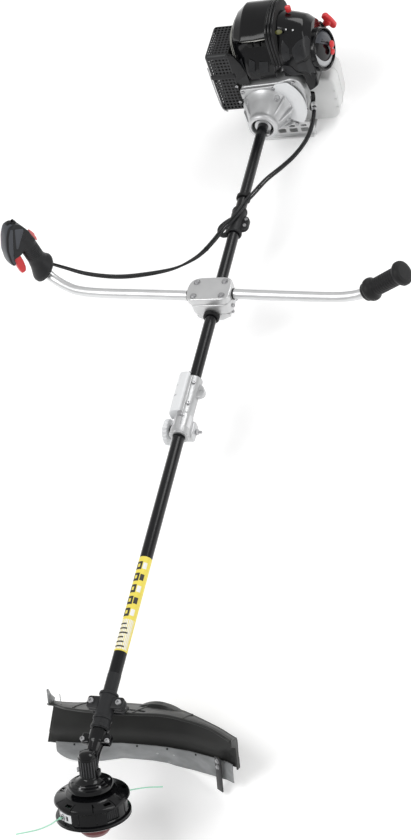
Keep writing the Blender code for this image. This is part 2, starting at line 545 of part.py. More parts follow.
dome = crossed_shell("top_cover", [(-56, 75), (-57, 150), (-50, 178), (-32, 200), (0, 213), (24, 213), (38, 202), (38, 75)],
                     [(1611, 75), (1616, 120), (1614, 172), (1636, 194), (1670, 212), (1712, 212), (1745, 194), (1760, 160), (1760, 75)],
                     "black", 2.2, 80)
join(dome, block("dome_right_window", (30, 1630, 50), (50, 1744, 186), "black", cutter=True))
join(dome, block("muffler_window", (-70, 1648, 50), (-45, 1719, 137), "black", cutter=True))
# right hood over the carburettor
hood = crossed_shell("carburettor_hood", [(38.3, 75.5), (38.3, 190), (62, 194), (100, 184), (124, 168), (130, 140), (130, 42), (118, 34), (99, 60), (97, 75.5)],
                     [(1609, 30), (1609, 96), (1622, 150), (1646, 184), (1680, 196), (1735, 184), (1738, 120), (1738, 30)],
                     "black", 2.2, 77)
join(hood, block("hood_left_window", (30, 1630, 20), (43.6, 1730, 176), "black", cutter=True))
join(hood, rod("filter_window", 43, 120, 140, "black", loc=(0, 1672, 97), rot=ALONG_X, steps=22, cutter=True))
lathe("air_filter_cover", [(0, 158), (28, 157), (45, 152), (51, 144), (51, 130.4), (48.6, 130.4), (48.6, 142), (43, 149), (0, 154)],
      "matte", loc=(0, 1672, 97), rot=ALONG_X, steps=32)
tube("air_filter", 38, 14, 100, 126, "rubber", loc=(0, 1672, 97), rot=ALONG_X, steps=20)
carb = block("carburettor", (46, 1662, 84), (98, 1690, 110), "alu", bevel=3)
join(carb, rod("carburettor_throat", 8, 40, 110, "alu", loc=(0, 1676, 97), rot=ALONG_X, steps=16, cutter=True))
plate("throttle_arm", [(-5, -5), (5, -5), (6, 20), (3, 25), (-3, 25), (-5, 18)], 110.3, 113.3, "steel", loc=(72, 1674, 0))
side_plate("choke_lever", [(-9, -9), (4, -11), (10, -4), (7, 2), (11, 9), (6, 15), (-6, 14), (-9, 5)], 158.4, 164, "red",
           loc=(0, 1676, 94), bevel=1)
lathe("cover_knob", [(0, 14), (6, 14), (9, 11), (9, 3), (4, 1), (4, 0), (0, 0)], "red", loc=(81, 1692, 191), steps=16)
TANK = [(-52, -63), (-52, -93.5), (128, -93.5), (142, -86), (150, -60), (152, 10), (146, 24), (108, 28), (99, 20), (64, -58), (60, -63)]
tank = front_plate("fuel_tank", TANK, 1652, 1736, "tank", bevel=3.5)
join(tank, front_plate("tank_inside", inset(TANK, 2.5), 1654.5, 1733.5, "tank", cutter=True))
join(tank, rod("filler", 12, 1725, 1745, "tank", loc=(112, 0, -45), rot=ALONG_Y, steps=20, cutter=True))
lathe("fuel_cap", [(0, 1752), (17, 1752), (19, 1749), (19, 1736.3), (11.7, 1736.3), (11.7, 1728), (0, 1728)], "black", loc=(112, 0, -45), rot=ALONG_Y, steps=24)
# skid: its sole lies flat on the floor, so it is built level
sole = block("engine_stand", (-50, 790, 0), (84, 962, 5), "alu", parent=None)
sole.location = (SHIFT_X * MM, 0, 0)
join(sole, block("stand_front", (-40, 1614, -105), (90, 1619, -61), "alu", cutter=True), "UNION")
join(sole, block("stand_back", (-34, 1746, -97), (34, 1751, -63), "alu", cutter=True), "UNION")
for x in (0, 28, 56):
    join(sole, block("stand_slot_%d" % x, (x, 1600, -92), (x + 20, 1630, -80), "alu", cutter=True))
# recoil starter: drum case with an arm that carries the rope up to the handle
PULL = Vector((140, 0, 108)).normalized()
pull_angle = math.atan2(PULL.z, PULL.x)
ARM_Y = 1753.0
starter = rod("starter_housing", 62, 1740, 1786, "black", rot=ALONG_Y, steps=32)
join(starter, block("starter_arm", (40, -9, -11), (162, 9, 11), "black", loc=(0, ARM_Y, 0), rot=(0, -pull_angle, 0), cutter=True), "UNION")
join(starter, rod("starter_inside", 59, 1730, 1783, "black", rot=ALONG_Y, steps=32, cutter=True))
join(starter, rod("starter_post", 5, 1745, 1785, "black", rot=ALONG_Y, steps=16, cutter=True), "UNION")
ROPE_R = 28.0
out_angle = pull_angle + math.acos(ROPE_R / 168.0)
start = Vector((ROPE_R * math.cos(out_angle), ARM_Y, ROPE_R * math.sin(out_angle)))
end = Vector((168.0 * PULL.x, ARM_Y, 168.0 * PULL.z))
rope_dir = (end - start).normalized()
rope_turn = Vector((0, 0, 1)).rotation_difference(rope_dir).to_euler()
join(starter, rod("rope_channel", 4, 30, 190, "black", loc=tuple(start), rot=tuple(rope_turn), steps=12, cutter=True))
lathe("starter_pulley", [(32, 1746), (32, 1748.5), (26, 1750), (26, 1756), (32, 1757.5), (32, 1760), (5.3, 1760), (5.3, 1746)][::-1],
      "matte", ring=True, rot=ALONG_Y, steps=24)
wire("starter_rope", [tuple(start + rope_dir * d) for d in (0, 40, 80, 120, 163)], 1.6, "rubber", resolution=1)
handle_frame = empty("starter_handle_frame", machine, tuple(end), tuple(rope_turn))
lathe("starter_handle", [(0, 20), (7, 20), (9, 16), (9, 4), (6, -2), (0, -2)], "red", parent=handle_frame, steps=16)
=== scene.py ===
import json
import math

import bmesh
import bpy
from mathutils import Matrix, Vector

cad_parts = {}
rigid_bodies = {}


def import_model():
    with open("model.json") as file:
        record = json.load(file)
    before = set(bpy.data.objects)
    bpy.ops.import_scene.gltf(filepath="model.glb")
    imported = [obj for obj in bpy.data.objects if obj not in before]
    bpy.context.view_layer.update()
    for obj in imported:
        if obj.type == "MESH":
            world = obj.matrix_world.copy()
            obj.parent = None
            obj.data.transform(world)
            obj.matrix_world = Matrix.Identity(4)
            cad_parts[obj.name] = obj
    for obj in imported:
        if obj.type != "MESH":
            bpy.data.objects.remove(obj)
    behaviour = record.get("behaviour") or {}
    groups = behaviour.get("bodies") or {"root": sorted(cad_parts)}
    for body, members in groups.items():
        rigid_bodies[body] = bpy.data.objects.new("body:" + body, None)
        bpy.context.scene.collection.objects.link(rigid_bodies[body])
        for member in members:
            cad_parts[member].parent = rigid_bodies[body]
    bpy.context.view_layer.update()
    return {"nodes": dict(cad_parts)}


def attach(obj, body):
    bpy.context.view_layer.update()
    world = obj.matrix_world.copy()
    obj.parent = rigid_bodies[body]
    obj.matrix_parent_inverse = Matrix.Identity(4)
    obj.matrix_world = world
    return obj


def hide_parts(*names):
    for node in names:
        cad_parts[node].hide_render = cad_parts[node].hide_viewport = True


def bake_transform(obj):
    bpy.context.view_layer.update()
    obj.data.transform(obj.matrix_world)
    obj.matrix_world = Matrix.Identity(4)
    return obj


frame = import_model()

MM = 0.001
S, C = math.sin(math.radians(51)), math.cos(math.radians(51))
GEAR_Y, PITCH = -38.4, math.radians(3.1)
LOW_Y, LOW_Z = GEAR_Y + 203 * S - 80 * C, -203 * C - 80 * S
LIFT = -(LOW_Z * math.cos(PITCH) - LOW_Y * math.sin(PITCH))
# machine frame: X operator's left, Y along the shaft to the engine, Z handlebar side (lengths in mm)
M = Matrix.Translation(Vector((8.5, -809.5, LIFT)) * MM) @ Matrix.Rotation(-PITCH, 4, "X")
AXIAL = M @ Matrix.Rotation(-math.pi / 2, 4, "X")
HEAD = M @ Matrix.Translation(Vector((0, GEAR_Y, 0)) * MM) @ Matrix.Rotation(-math.radians(39), 4, "X")
FRONT = Matrix.Rotation(math.pi / 2, 4, "X")
SIDE = Matrix.Rotation(math.pi / 2, 4, "Z") @ Matrix.Rotation(math.pi / 2, 4, "X")
ACROSS = Matrix.Rotation(math.pi / 2, 4, "Y")


def T(x, y, z):
    return Matrix.Translation(Vector((x, y, z)) * MM)


def R(deg, axis):
    return Matrix.Rotation(math.radians(deg), 4, axis)


# ---------------------------------------------------------------- camera
cam_data = bpy.data.cameras.new("camera")
camera = bpy.data.objects.new("camera", cam_data)
bpy.context.scene.collection.objects.link(camera)
rot = Matrix(((0.9369, 0.0014, 0.3495), (0.2085, 0.8004, -0.5621), (-0.2806, 0.5995, 0.7496))).to_4x4()
camera.matrix_world = M @ Matrix.Translation(Vector((1073, -951, 2202)) * MM) @ rot
cam_data.sensor_width = 36
cam_data.sensor_fit = "AUTO"
cam_data.lens = 64.29
cam_data.clip_start, cam_data.clip_end = 0.05, 60
bpy.context.scene.camera = camera

# ---------------------------------------------------------------- materials


def material(name, colour, rough, metal=0.0, grain=0.0, grain_scale=600.0, vary=0.06, rough_vary=0.08, blotch=25.0, coat=0.0,
             transmission=0.0, ior=1.5, subsurface=0.0, streak=None, wear=None, specular=0.5):
    m = bpy.data.materials.new(name)
    m.use_nodes = True
    nt = m.node_tree
    p = nt.nodes["Principled BSDF"]
    p.inputs["Metallic"].default_value = metal
    p.inputs["IOR"].default_value = ior
    p.inputs["Coat Weight"].default_value = coat
    p.inputs["Coat Roughness"].default_value = 0.08
    p.inputs["Transmission Weight"].default_value = transmission
    p.inputs["Specular IOR Level"].default_value = specular
    if subsurface:
        p.inputs["Subsurface Weight"].default_value = subsurface
        p.inputs["Subsurface Radius"].default_value = (0.01, 0.01, 0.01)
    co = nt.nodes.new("ShaderNodeTexCoord")
    mapping = nt.nodes.new("ShaderNodeMapping")
    nt.links.new(co.outputs["Object"], mapping.inputs[0])
    if streak:
        mapping.inputs["Scale"].default_value = streak
    big = nt.nodes.new("ShaderNodeTexNoise")
    big.inputs["Scale"].default_value = blotch
    big.inputs["Detail"].default_value = 5
    nt.links.new(mapping.outputs[0], big.inputs["Vector"])
    ramp = nt.nodes.new("ShaderNodeValToRGB")
    lo = [max(c * (1 - vary), 0) for c in colour]
    hi = [min(c * (1 + vary), 1) for c in colour]
    ramp.color_ramp.elements[0].position = 0.3
    ramp.color_ramp.elements[0].color = (*lo, 1)
    ramp.color_ramp.elements[1].position = 0.7
    ramp.color_ramp.elements[1].color = (*hi, 1)
    nt.links.new(big.outputs[0], ramp.inputs[0])
    colour_out = ramp.outputs[0]
    if wear:
        geo = nt.nodes.new("ShaderNodeNewGeometry")
        edge = nt.nodes.new("ShaderNodeMapRange")
        edge.inputs["From Min"].default_value = 0.52
        edge.inputs["From Max"].default_value = 0.62
        nt.links.new(geo.outputs["Pointiness"], edge.inputs["Value"])
        mix = nt.nodes.new("ShaderNodeMix")
        mix.data_type = "RGBA"
        nt.links.new(edge.outputs[0], mix.inputs["Factor"])
        nt.links.new(colour_out, mix.inputs["A"])
        mix.inputs["B"].default_value = (*wear, 1)
        colour_out = mix.outputs["Result"]
    nt.links.new(colour_out, p.inputs["Base Color"])
    rr = nt.nodes.new("ShaderNodeMapRange")
    rr.inputs["To Min"].default_value = max(rough - rough_vary, 0.02)
    rr.inputs["To Max"].default_value = rough + rough_vary
    fine = nt.nodes.new("ShaderNodeTexNoise")
    fine.inputs["Scale"].default_value = blotch * 4
    fine.inputs["Detail"].default_value = 4
    nt.links.new(mapping.outputs[0], fine.inputs["Vector"])
    nt.links.new(fine.outputs[0], rr.inputs["Value"])
    nt.links.new(rr.outputs[0], p.inputs["Roughness"])
    if grain:
        bump = nt.nodes.new("ShaderNodeBump")
        bump.inputs["Strength"].default_value = grain
        bump.inputs["Distance"].default_value = 0.0004
        tex = nt.nodes.new("ShaderNodeTexNoise")
        tex.inputs["Scale"].default_value = grain_scale
        tex.inputs["Detail"].default_value = 3
        nt.links.new(mapping.outputs[0], tex.inputs["Vector"])
        nt.links.new(tex.outputs[0], bump.inputs["Height"])
        nt.links.new(bump.outputs[0], p.inputs["Normal"])
    return m


GLOSS = material("gloss_black", (0.0042, 0.0043, 0.0050), 0.13, grain=0.03, grain_scale=240, vary=0.25, rough_vary=0.05, specular=0.34)
GREYP = material("grey_plastic", (0.0150, 0.0154, 0.0168), 0.44, grain=0.25, grain_scale=1400, vary=0.14, specular=0.3)
FACET = material("hood_grey", (0.0115, 0.012, 0.0135), 0.3, grain=0.12, grain_scale=1000, vary=0.2, blotch=40, specular=0.4)
GUARD = material("guard_plastic", (0.0185, 0.0190, 0.0180), 0.42, grain=0.3, grain_scale=700, vary=0.35, blotch=9, specular=0.3, wear=(0.045, 0.046, 0.044))
# dark matte: the gaps under bolt heads, and painted shade under the dome's ledge and between the column ribs
GAP_AND_SHADE_DARK = material("dark_gap_and_painted_shade", (0.006, 0.006, 0.006), 0.8, grain=0.2)
ALU = material("cast_aluminium", (0.52, 0.525, 0.53), 0.38, metal=0.6, grain=0.35, grain_scale=500, vary=0.1, wear=(0.75, 0.75, 0.76))
ALU_SMOOTH = material("machined_aluminium", (0.62, 0.622, 0.625), 0.33, metal=0.65, grain=0.05, grain_scale=300, vary=0.05)
BAR = material("satin_bar", (0.72, 0.725, 0.73), 0.34, metal=0.7, grain=0.0, grain_scale=500, vary=0.04)
WHITE = material("white_cap", (0.74, 0.75, 0.76), 0.34, grain=0.08, vary=0.03)
TUBE = material("painted_tube", (0.0050, 0.0051, 0.0060), 0.24, grain=0.05, grain_scale=500, vary=0.15, streak=(3, 0.3, 3), specular=0.34)
STEEL = material("bright_steel", (0.42, 0.42, 0.43), 0.26, metal=0.95, grain=0.05, vary=0.08)
ZINC = material("zinc_screw", (0.45, 0.45, 0.46), 0.3, metal=0.8, vary=0.08)
RED = material("red_plastic", (0.66, 0.030, 0.034), 0.36, grain=0.08, grain_scale=900, vary=0.06)
PINK = material("red_face", (0.82, 0.20, 0.20), 0.4, vary=0.06)
DARKRED = material("dark_red_plastic", (0.12, 0.0035, 0.006), 0.36, grain=0.12, grain_scale=900, vary=0.15)
RUBBER = material("black_rubber", (0.0085, 0.0086, 0.0092), 0.5, grain=0.3, grain_scale=1500, vary=0.15, specular=0.3)
SLEEVE = material("cable_sleeve", (0.0105, 0.011, 0.012), 0.38, grain=0.15, grain_scale=1500, vary=0.15, specular=0.34)
TANK = material("tank_white", (0.80, 0.805, 0.80), 0.34, grain=0.06, vary=0.03, subsurface=0.2, transmission=0.2)
SKIRT = material("clear_skirt", (0.36, 0.37, 0.375), 0.24, grain=0.1, grain_scale=160, vary=0.35, blotch=14, transmission=0.35, ior=1.35, streak=(1, 1, 3))
LINE = material("mint_line", (0.40, 0.79, 0.58), 0.38, vary=0.1)
YELLOW = material("label_yellow", (0.84, 0.70, 0.10), 0.42, vary=0.03)
LABEL_DARK = material("label_dark", (0.03, 0.03, 0.03), 0.5, vary=0.1)
LABEL_WHITE = material("label_white", (0.86, 0.86, 0.85), 0.45, vary=0.02)
OLIVE = material("olive_badge", (0.11, 0.11, 0.02), 0.35, vary=0.2)
FOAM = material("filter_foam", (0.02, 0.02, 0.02), 0.9, grain=0.8, grain_scale=900)
# light grey for the dome's edge beads and ledge bead: a painted highlight standing in for reflection streaks
PAINTED_HIGHLIGHT = material("edge_painted_highlight", (0.36, 0.36, 0.33), 0.2, vary=0.4, blotch=40, specular=0.8)
MESHY = material("shield_black", (0.020, 0.0205, 0.022), 0.4, grain=0.2, grain_scale=900, vary=0.2, specular=0.4)
KNIFE = material("worn_steel", (0.035, 0.035, 0.037), 0.42, metal=0.3, grain=0.3, grain_scale=500, vary=0.4, blotch=120)
GREYFACE = material("grey_face", (0.052, 0.056, 0.066), 0.33, grain=0.15, grain_scale=1000, vary=0.12, specular=0.4)
CASE_RIB = material("case_satin", (0.046, 0.047, 0.050), 0.4, grain=0.2, grain_scale=900, vary=0.15)
SILVER = material("silver_panel", (0.42, 0.43, 0.44), 0.32, metal=0.5, grain=0.08, vary=0.06)

# ---------------------------------------------------------------- mesh helpers


def put(name, mesh, mat, body, at=None, rep=(), angle=32):
    """The mesh (millimetres, local) placed with a matrix, riding on a body."""
    mesh.transform(Matrix.Scale(MM, 4))
    mesh.transform(at if at is not None else M)
    mesh.name = name
    o = bpy.data.objects.new(name, mesh)
    bpy.context.scene.collection.objects.link(o)
    mesh.materials.clear()
    mesh.materials.append(mat)
    mesh.shade_smooth()
    mesh.set_sharp_from_angle(angle=math.radians(angle))
    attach(o, body)
    if rep:
        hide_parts(*rep)
    return o


def from_bm(bm):
    bmesh.ops.recalc_face_normals(bm, faces=bm.faces)
    mesh = bpy.data.meshes.new("m")
    bm.to_mesh(mesh)
    bm.free()
    return mesh


def fillet(points, r, n=3, closed=True):
    """Corners of a 2D outline rounded with radius r."""
    out = []
    count = len(points)
    for i, p in enumerate(points):
        if not closed and i in (0, count - 1):
            out.append(tuple(p))
            continue
        a, b = Vector(points[i - 1]), Vector(points[(i + 1) % count])
        p = Vector(p)
        u, v = a - p, b - p
        if u.length < 1e-6 or v.length < 1e-6:
            out.append(tuple(p))
            continue
        k = min(r, u.length * 0.45, v.length * 0.45)
        u.normalize(), v.normalize()
        if abs(u.dot(v)) > 0.995:
            out.append(tuple(p))
            continue
        q0, q1 = p + u * k, p + v * k
        for j in range(n + 1):
            t = j / n
            out.append(tuple((1 - t) ** 2 * q0 + 2 * t * (1 - t) * p + t * t * q1))
    return out


def lathe(profile, seg=64, ring=False, r=0.0):
    pts = fillet(profile, r, 3, closed=ring) if r else list(profile)
    bm = bmesh.new()
    rings = []
    for rad, z in pts:
        if rad < 1e-6:
            rings.append([bm.verts.new((0, 0, z))])
        else:
            rings.append([bm.verts.new((rad * math.cos(2 * math.pi * k / seg), rad * math.sin(2 * math.pi * k / seg), z)) for k in range(seg)])
    pairs = list(zip(rings, rings[1:])) + ([(rings[-1], rings[0])] if ring else [])
    for a, b in pairs:
        for k in range(seg):
            q = [a[k % len(a)], a[(k + 1) % seg % len(a)], b[(k + 1) % seg % len(b)], b[k % len(b)]]
            q = [v for i, v in enumerate(q) if v not in q[:i]]
            if len(q) > 2:
                bm.faces.new(q)
    return from_bm(bm)


def prism(outline, z0, z1, bevel=0.0, seg=3):
    bm = bmesh.new()
    low = [bm.verts.new((x, y, z0)) for x, y in outline]
    high = [bm.verts.new((x, y, z1)) for x, y in outline]
    n = len(outline)
    bm.faces.new(low[::-1])
    bm.faces.new(high)
    for i in range(n):
        bm.faces.new((low[i], low[(i + 1) % n], high[(i + 1) % n], high[i]))
    bmesh.ops.recalc_face_normals(bm, faces=bm.faces)
    if bevel:
        rim = [e for e in bm.edges if abs(e.verts[0].co.z - e.verts[1].co.z) < 1e-6]
        bmesh.ops.bevel(bm, geom=rim, offset=bevel, segments=seg, affect="EDGES", profile=0.5, clamp_overlap=True)
    return from_bm(bm)


def box(lo, hi, bevel=0.0, seg=3):
    bm = bmesh.new()
    bmesh.ops.create_cube(bm, size=1)
    for v in bm.verts:
        v.co = Vector([(lo[i] + hi[i]) / 2 + v.co[i] * (hi[i] - lo[i]) for i in range(3)])
    if bevel:
        bmesh.ops.bevel(bm, geom=bm.edges[:], offset=bevel, segments=seg, affect="EDGES", profile=0.5, clamp_overlap=True)
    return from_bm(bm)


def merged(*meshes):
    """Several meshes as one, each optionally paired with a matrix (lengths in mm)."""
    bm = bmesh.new()
    for item in meshes:
        mesh, mat = item if isinstance(item, tuple) else (item, None)
        if mat is not None:
            mm = mat.copy()
            mm.translation = mm.translation / MM
            mesh.transform(mm)
        bm.from_mesh(mesh)
        bpy.data.meshes.remove(mesh)
    mesh = bpy.data.meshes.new("m")
    bm.to_mesh(mesh)
    bm.free()
    return mesh


def placed(mesh, mat):
    mm = mat.copy()
    mm.translation = mm.translation / MM
    mesh.transform(mm)
    return mesh


def boolean(base, *cutters, op="DIFFERENCE"):
    """Meshes in, mesh out."""
    a = bpy.data.objects.new("tmp_a", base)
    bpy.context.scene.collection.objects.link(a)
    others = []
    for c in cutters:
        b = bpy.data.objects.new("tmp_b", c)
        bpy.context.scene.collection.objects.link(b)
        mod = a.modifiers.new("b", "BOOLEAN")
        mod.operation, mod.object, mod.solver = op, b, "EXACT"
        others.append(b)
    bpy.context.view_layer.update()
    mesh = bpy.data.meshes.new_from_object(a.evaluated_get(bpy.context.evaluated_depsgraph_get()))
    for o in [a] + others:
        bpy.data.objects.remove(o, do_unlink=True)
    return mesh


def modified(mesh, *mods):
    """A mesh with modifiers applied: each is (type, settings)."""
    a = bpy.data.objects.new("tmp_m", mesh)
    bpy.context.scene.collection.objects.link(a)
    for kind, settings in mods:
        mod = a.modifiers.new(kind, kind)
        for k, v in settings.items():
            setattr(mod, k, v)
    bpy.context.view_layer.update()
    out = bpy.data.meshes.new_from_object(a.evaluated_get(bpy.context.evaluated_depsgraph_get()))
    bpy.data.objects.remove(a, do_unlink=True)
    return out


def catmull(points, step=4):
    p = [Vector(q) for q in points]
    p = [2 * p[0] - p[1]] + p + [2 * p[-1] - p[-2]]
    out = []
    for i in range(1, len(p) - 2):
        a, b, c, d = p[i - 1], p[i], p[i + 1], p[i + 2]
        n = max(2, int((c - b).length / step))
        for k in range(n):
            t = k / n
            out.append(0.5 * (2 * b + (c - a) * t + (2 * a - 5 * b + 4 * c - d) * t * t + (3 * b - a - 3 * c + d) * t ** 3))
    out.append(p[-2])
    return out


def resample(points, per=5):
    out = []
    pts = [Vector((a, b, 0)) for a, b in points]
    pts = [2 * pts[0] - pts[1]] + pts + [2 * pts[-1] - pts[-2]]
    for i in range(1, len(pts) - 2):
        a, b, c, d = pts[i - 1], pts[i], pts[i + 1], pts[i + 2]
        for k in range(per):
            t = k / per
            q = 0.5 * (2 * b + (c - a) * t + (2 * a - 5 * b + 4 * c - d) * t * t + (3 * b - a - 3 * c + d) * t ** 3)
            out.append((q.x, q.y))
    out.append((pts[-2].x, pts[-2].y))
    return out


def frames(path, up=Vector((0, 0, 1))):
    out = []
    side = None
    for i, p in enumerate(path):
        t = (path[min(i + 1, len(path) - 1)] - path[max(i - 1, 0)]).normalized()
        if side is None:
            side = t.cross(up).normalized()
        side = (side - t * side.dot(t)).normalized()
        out.append((p, t, side, side.cross(t).normalized()))
    return out


def sweep(path, radius, seg=16, shape=None, up=Vector((0, 0, 1)), cap=True):
    """A tube along the path; radius is a number or a function of the index; shape gives an oval as (a, b)."""
    bm = bmesh.new()
    rings = []
    for i, (p, t, s, n) in enumerate(frames(path, up)):
        r = radius(i) if callable(radius) else radius
        ra, rb = (r, r) if shape is None else (r * shape[0], r * shape[1])
        rings.append([bm.verts.new(p + s * (ra * math.cos(2 * math.pi * k / seg)) + n * (rb * math.sin(2 * math.pi * k / seg))) for k in range(seg)])
    for a, b in zip(rings, rings[1:]):
        for k in range(seg):
            bm.faces.new((a[k], a[(k + 1) % seg], b[(k + 1) % seg], b[k]))
    if cap:
        bm.faces.new(rings[0][::-1])
        bm.faces.new(rings[-1])
    return from_bm(bm)


def grid(columns, thickness=2.0, smooth=0, crease=None, offset=-1.0):
    """A skin through columns of points, thickened inwards."""
    bm = bmesh.new()
    vs = [[bm.verts.new(p) for p in col] for col in columns]
    for a, b in zip(vs, vs[1:]):
        for j in range(len(a) - 1):
            bm.faces.new((a[j], b[j], b[j + 1], a[j + 1]))
    mesh = from_bm(bm)
    mods = []
    if smooth:
        mods.append(("SUBSURF", {"levels": smooth, "render_levels": smooth}))
    mods.append(("SOLIDIFY", {"thickness": thickness, "offset": offset, "use_even_offset": False}))
    return modified(mesh, *mods)


def hexbolt(r=5.0, h=4.0, washer=True):
    """Flanged hexagon bolt head seated at z = 0, pointing up."""
    hexa = [(r * math.cos(math.radians(60 * k)), r * math.sin(math.radians(60 * k))) for k in range(6)]
    parts_ = [prism(hexa, 0.6, h, bevel=0.4)]
    if washer:
        parts_.append(lathe([(0, 0.9), (r * 1.25, 0.7), (r * 1.3, 0), (0, 0)], 24))
    return merged(*parts_)


def socket(r=4.5, h=4.5):
    """Round socket-head screw with its recess, seated at z = 0."""
    rec = r * 0.55
    body = lathe([(0, h * 0.45), (rec, h * 0.45), (rec, h), (r * 0.85, h), (r, h * 0.85), (r, 0), (0, 0)], 28)
    return body


def facing(pos, normal, matrix=M):
    """A matrix whose local Z looks along the normal, at pos, both in the given frame."""
    n = Vector(normal).normalized()
    return matrix @ T(*pos) @ Vector((0, 0, 1)).rotation_difference(n).to_matrix().to_4x4()


count = [0]


def screw(pos, normal, body, r=4.5, h=4.0, kind="socket", matrix=M, mat=None):
    count[0] += 1
    mesh = socket(r, h) if kind == "socket" else hexbolt(r, h)
    return put("screw_%03d" % count[0], mesh, mat or ZINC, body, facing(pos, normal, matrix))


def lerp_profile(stations, x):
    """Interpolates lists of points between stations {x: points}."""
    keys = sorted(stations)
    if x <= keys[0]:
        return stations[keys[0]]
    for a, b in zip(keys, keys[1:]):
        if x <= b:
            t = (x - a) / (b - a)
            return [tuple(p[i] + (q[i] - p[i]) * t for i in range(len(p))) for p, q in zip(stations[a], stations[b])]
    return stations[keys[-1]]

# ---------------------------------------------------------------- shaft
put("upper_tube_skin", lathe([(12, 1563), (12, 708), (10.5, 708), (10.5, 1563)], 56, ring=True, r=0.4), TUBE, "machine", AXIAL, ["upper_tube"])
put("lower_tube_skin", lathe([(12, 706), (12, 8), (10.5, 8), (10.5, 706)], 56, ring=True, r=0.4), TUBE, "lower_unit", AXIAL, ["lower_tube"])
put("label_sleeve", lathe([(12.14, 378), (12.18, 377), (12.18, 184), (12.14, 183)], 56), YELLOW, "lower_unit", AXIAL)


def curved_patch(name, y0, y1, a0, a1, mat, r=12.26, n=10):
    """A thin printed patch wrapped on the tube between two angles (degrees from the handlebar side towards the left)."""
    cols = []
    for k in range(n + 1):
        a = math.radians(a0 + (a1 - a0) * k / n)
        cols.append([(r * math.sin(a), y0 + (y1 - y0) * j / 3, r * math.cos(a)) for j in range(4)])
    return put(name, grid(cols, 0.06), mat, "lower_unit")


curved_patch("label_white_area", 186, 246, -75, 75, LABEL_WHITE)
y = 252
for k in range(5):
    curved_patch("label_panel_%d" % k, y, y + 17, -52, 8, LABEL_DARK)
    curved_patch("label_sign_%d" % k, y + 5, y + 12, -34, -10, YELLOW, 12.33)
    curved_patch("label_note_%d" % k, y + 2, y + 15, 16, 52, LABEL_DARK if k % 2 else LABEL_WHITE)
    y += 24.5
for k in range(6):
    curved_patch("label_text_%d" % k, 190 + k * 9, 193 + k * 9, -48, 40 - (k % 3) * 14, LABEL_DARK, 12.33)

# ---------------------------------------------------------------- coupler
barrel = lathe([(17.6, 800), (17.6, 710), (18.9, 706), (18.9, 658), (12.4, 658), (12.4, 800)], 64, ring=True, r=1.2)
ears = box((-21, 667, -31), (23, 705, -8), 5)
wing_out = fillet([(10, 752), (24, 754), (31, 759), (32, 768), (24, 782), (10, 792)], 5, 4)
wing = prism(wing_out, -4, 5, 1.6)
rib = box((-4, 664, 13), (4, 796, 20.5), 1.8)
collar = placed(lathe([(20.4, 676), (20.4, 660), (15, 660), (15, 676)], 64, ring=True, r=1.0), Matrix.Rotation(-math.pi / 2, 4, "X"))
body_ = boolean(placed(barrel, Matrix.Rotation(-math.pi / 2, 4, "X")), ears, wing, rib, collar, op="UNION")
body_ = boolean(body_, placed(lathe([(0, 850), (12.35, 850), (12.35, 600), (0, 600)], 48), Matrix.Rotation(-math.pi / 2, 4, "X")),
                box((-1.3, 640, -60), (1.3, 716, -11)), placed(lathe([(0, 60), (3.4, 60), (3.4, -60), (0, -60)], 24), T(0, 686, -21) @ ACROSS),
                placed(lathe([(0, 3), (5, 3), (5, 0), (0, 0)], 24), T(23, 767, 3.2)))
put("coupler_casting", body_, ALU, "machine", M, ["coupler_body"])
shell = fillet([(-30, 1), (-29, 14), (-22, 22.5), (-8, 24.5), (-3, 21), (-3, 12), (-14, 6), (-20, -6), (-29, -8)], 3, 3)
cover = placed(prism(shell, -805, -707, 5, 4), FRONT)
cover = boolean(cover, placed(lathe([(0, 830), (17.9, 830), (17.9, 690), (0, 690)], 48), Matrix.Rotation(-math.pi / 2, 4, "X")),
                box((-40, 744, 16), (-19, 748, 40)), box((-40, 770, 18), (-21, 773, 40)))
put("coupler_cap", cover, WHITE, "machine", M, ["coupler_cover"])
put("coupler_pin", lathe([(0, 27), (4.5, 27), (5.5, 26), (5.5, 19), (7.5, 18), (7.5, 15), (0, 15)], 32), ZINC, "machine", M @ T(0, 700, 0))
screw((8, 730, 16.4), (0.42, 0, 0.9), "machine", 3.6, 3.2)
screw((8, 782, 16.4), (0.42, 0, 0.9), "machine", 3.6, 3.2)
screw((-6, 808, 15), (0, 1, 0), "machine", 2.6, 2.0)
# scalloped knob: eight lobes round the rim
lobes = []
for k in range(160):
    a = 2 * math.pi * k / 160
    lobes.append(((25.4 + 1.1 * math.cos(20 * a)) * math.cos(a), (25.4 + 1.1 * math.cos(20 * a)) * math.sin(a)))
star = merged(prism(lobes, -40, -29.5, 2.6, 4), lathe([(0, -41.8), (11, -41.6), (15, -40), (15, -34), (0, -34)][::-1], 48),
              lathe([(0, -22.5), (9, -22.5), (9, -30), (0, -30)], 40))
put("coupler_star_knob", star, WHITE, "coupler_screw", M @ T(0, 686, -21) @ ACROSS, ["coupler_knob"])
put("coupler_washer", lathe([(13.5, -26.2), (13.5, -28.6), (4, -28.6), (4, -26.2)], 40, ring=True, r=0.4), RUBBER, "coupler_screw", M @ T(0, 686, -21) @ ACROSS)
thread = [(0, 36)] + [(3.1 if k % 2 else 2.6, 35.5 - k * 0.55) for k in range(24)] + [(3, 22), (3, -24), (0, -24)]
put("coupler_bolt", lathe(thread, 24), STEEL, "coupler_screw", M @ T(0, 686, -21) @ ACROSS)
put("coupler_nut", merged(hexbolt(5.6, 5.5)), ZINC, "machine", facing((23, 686, -21), (1, 0, 0)))

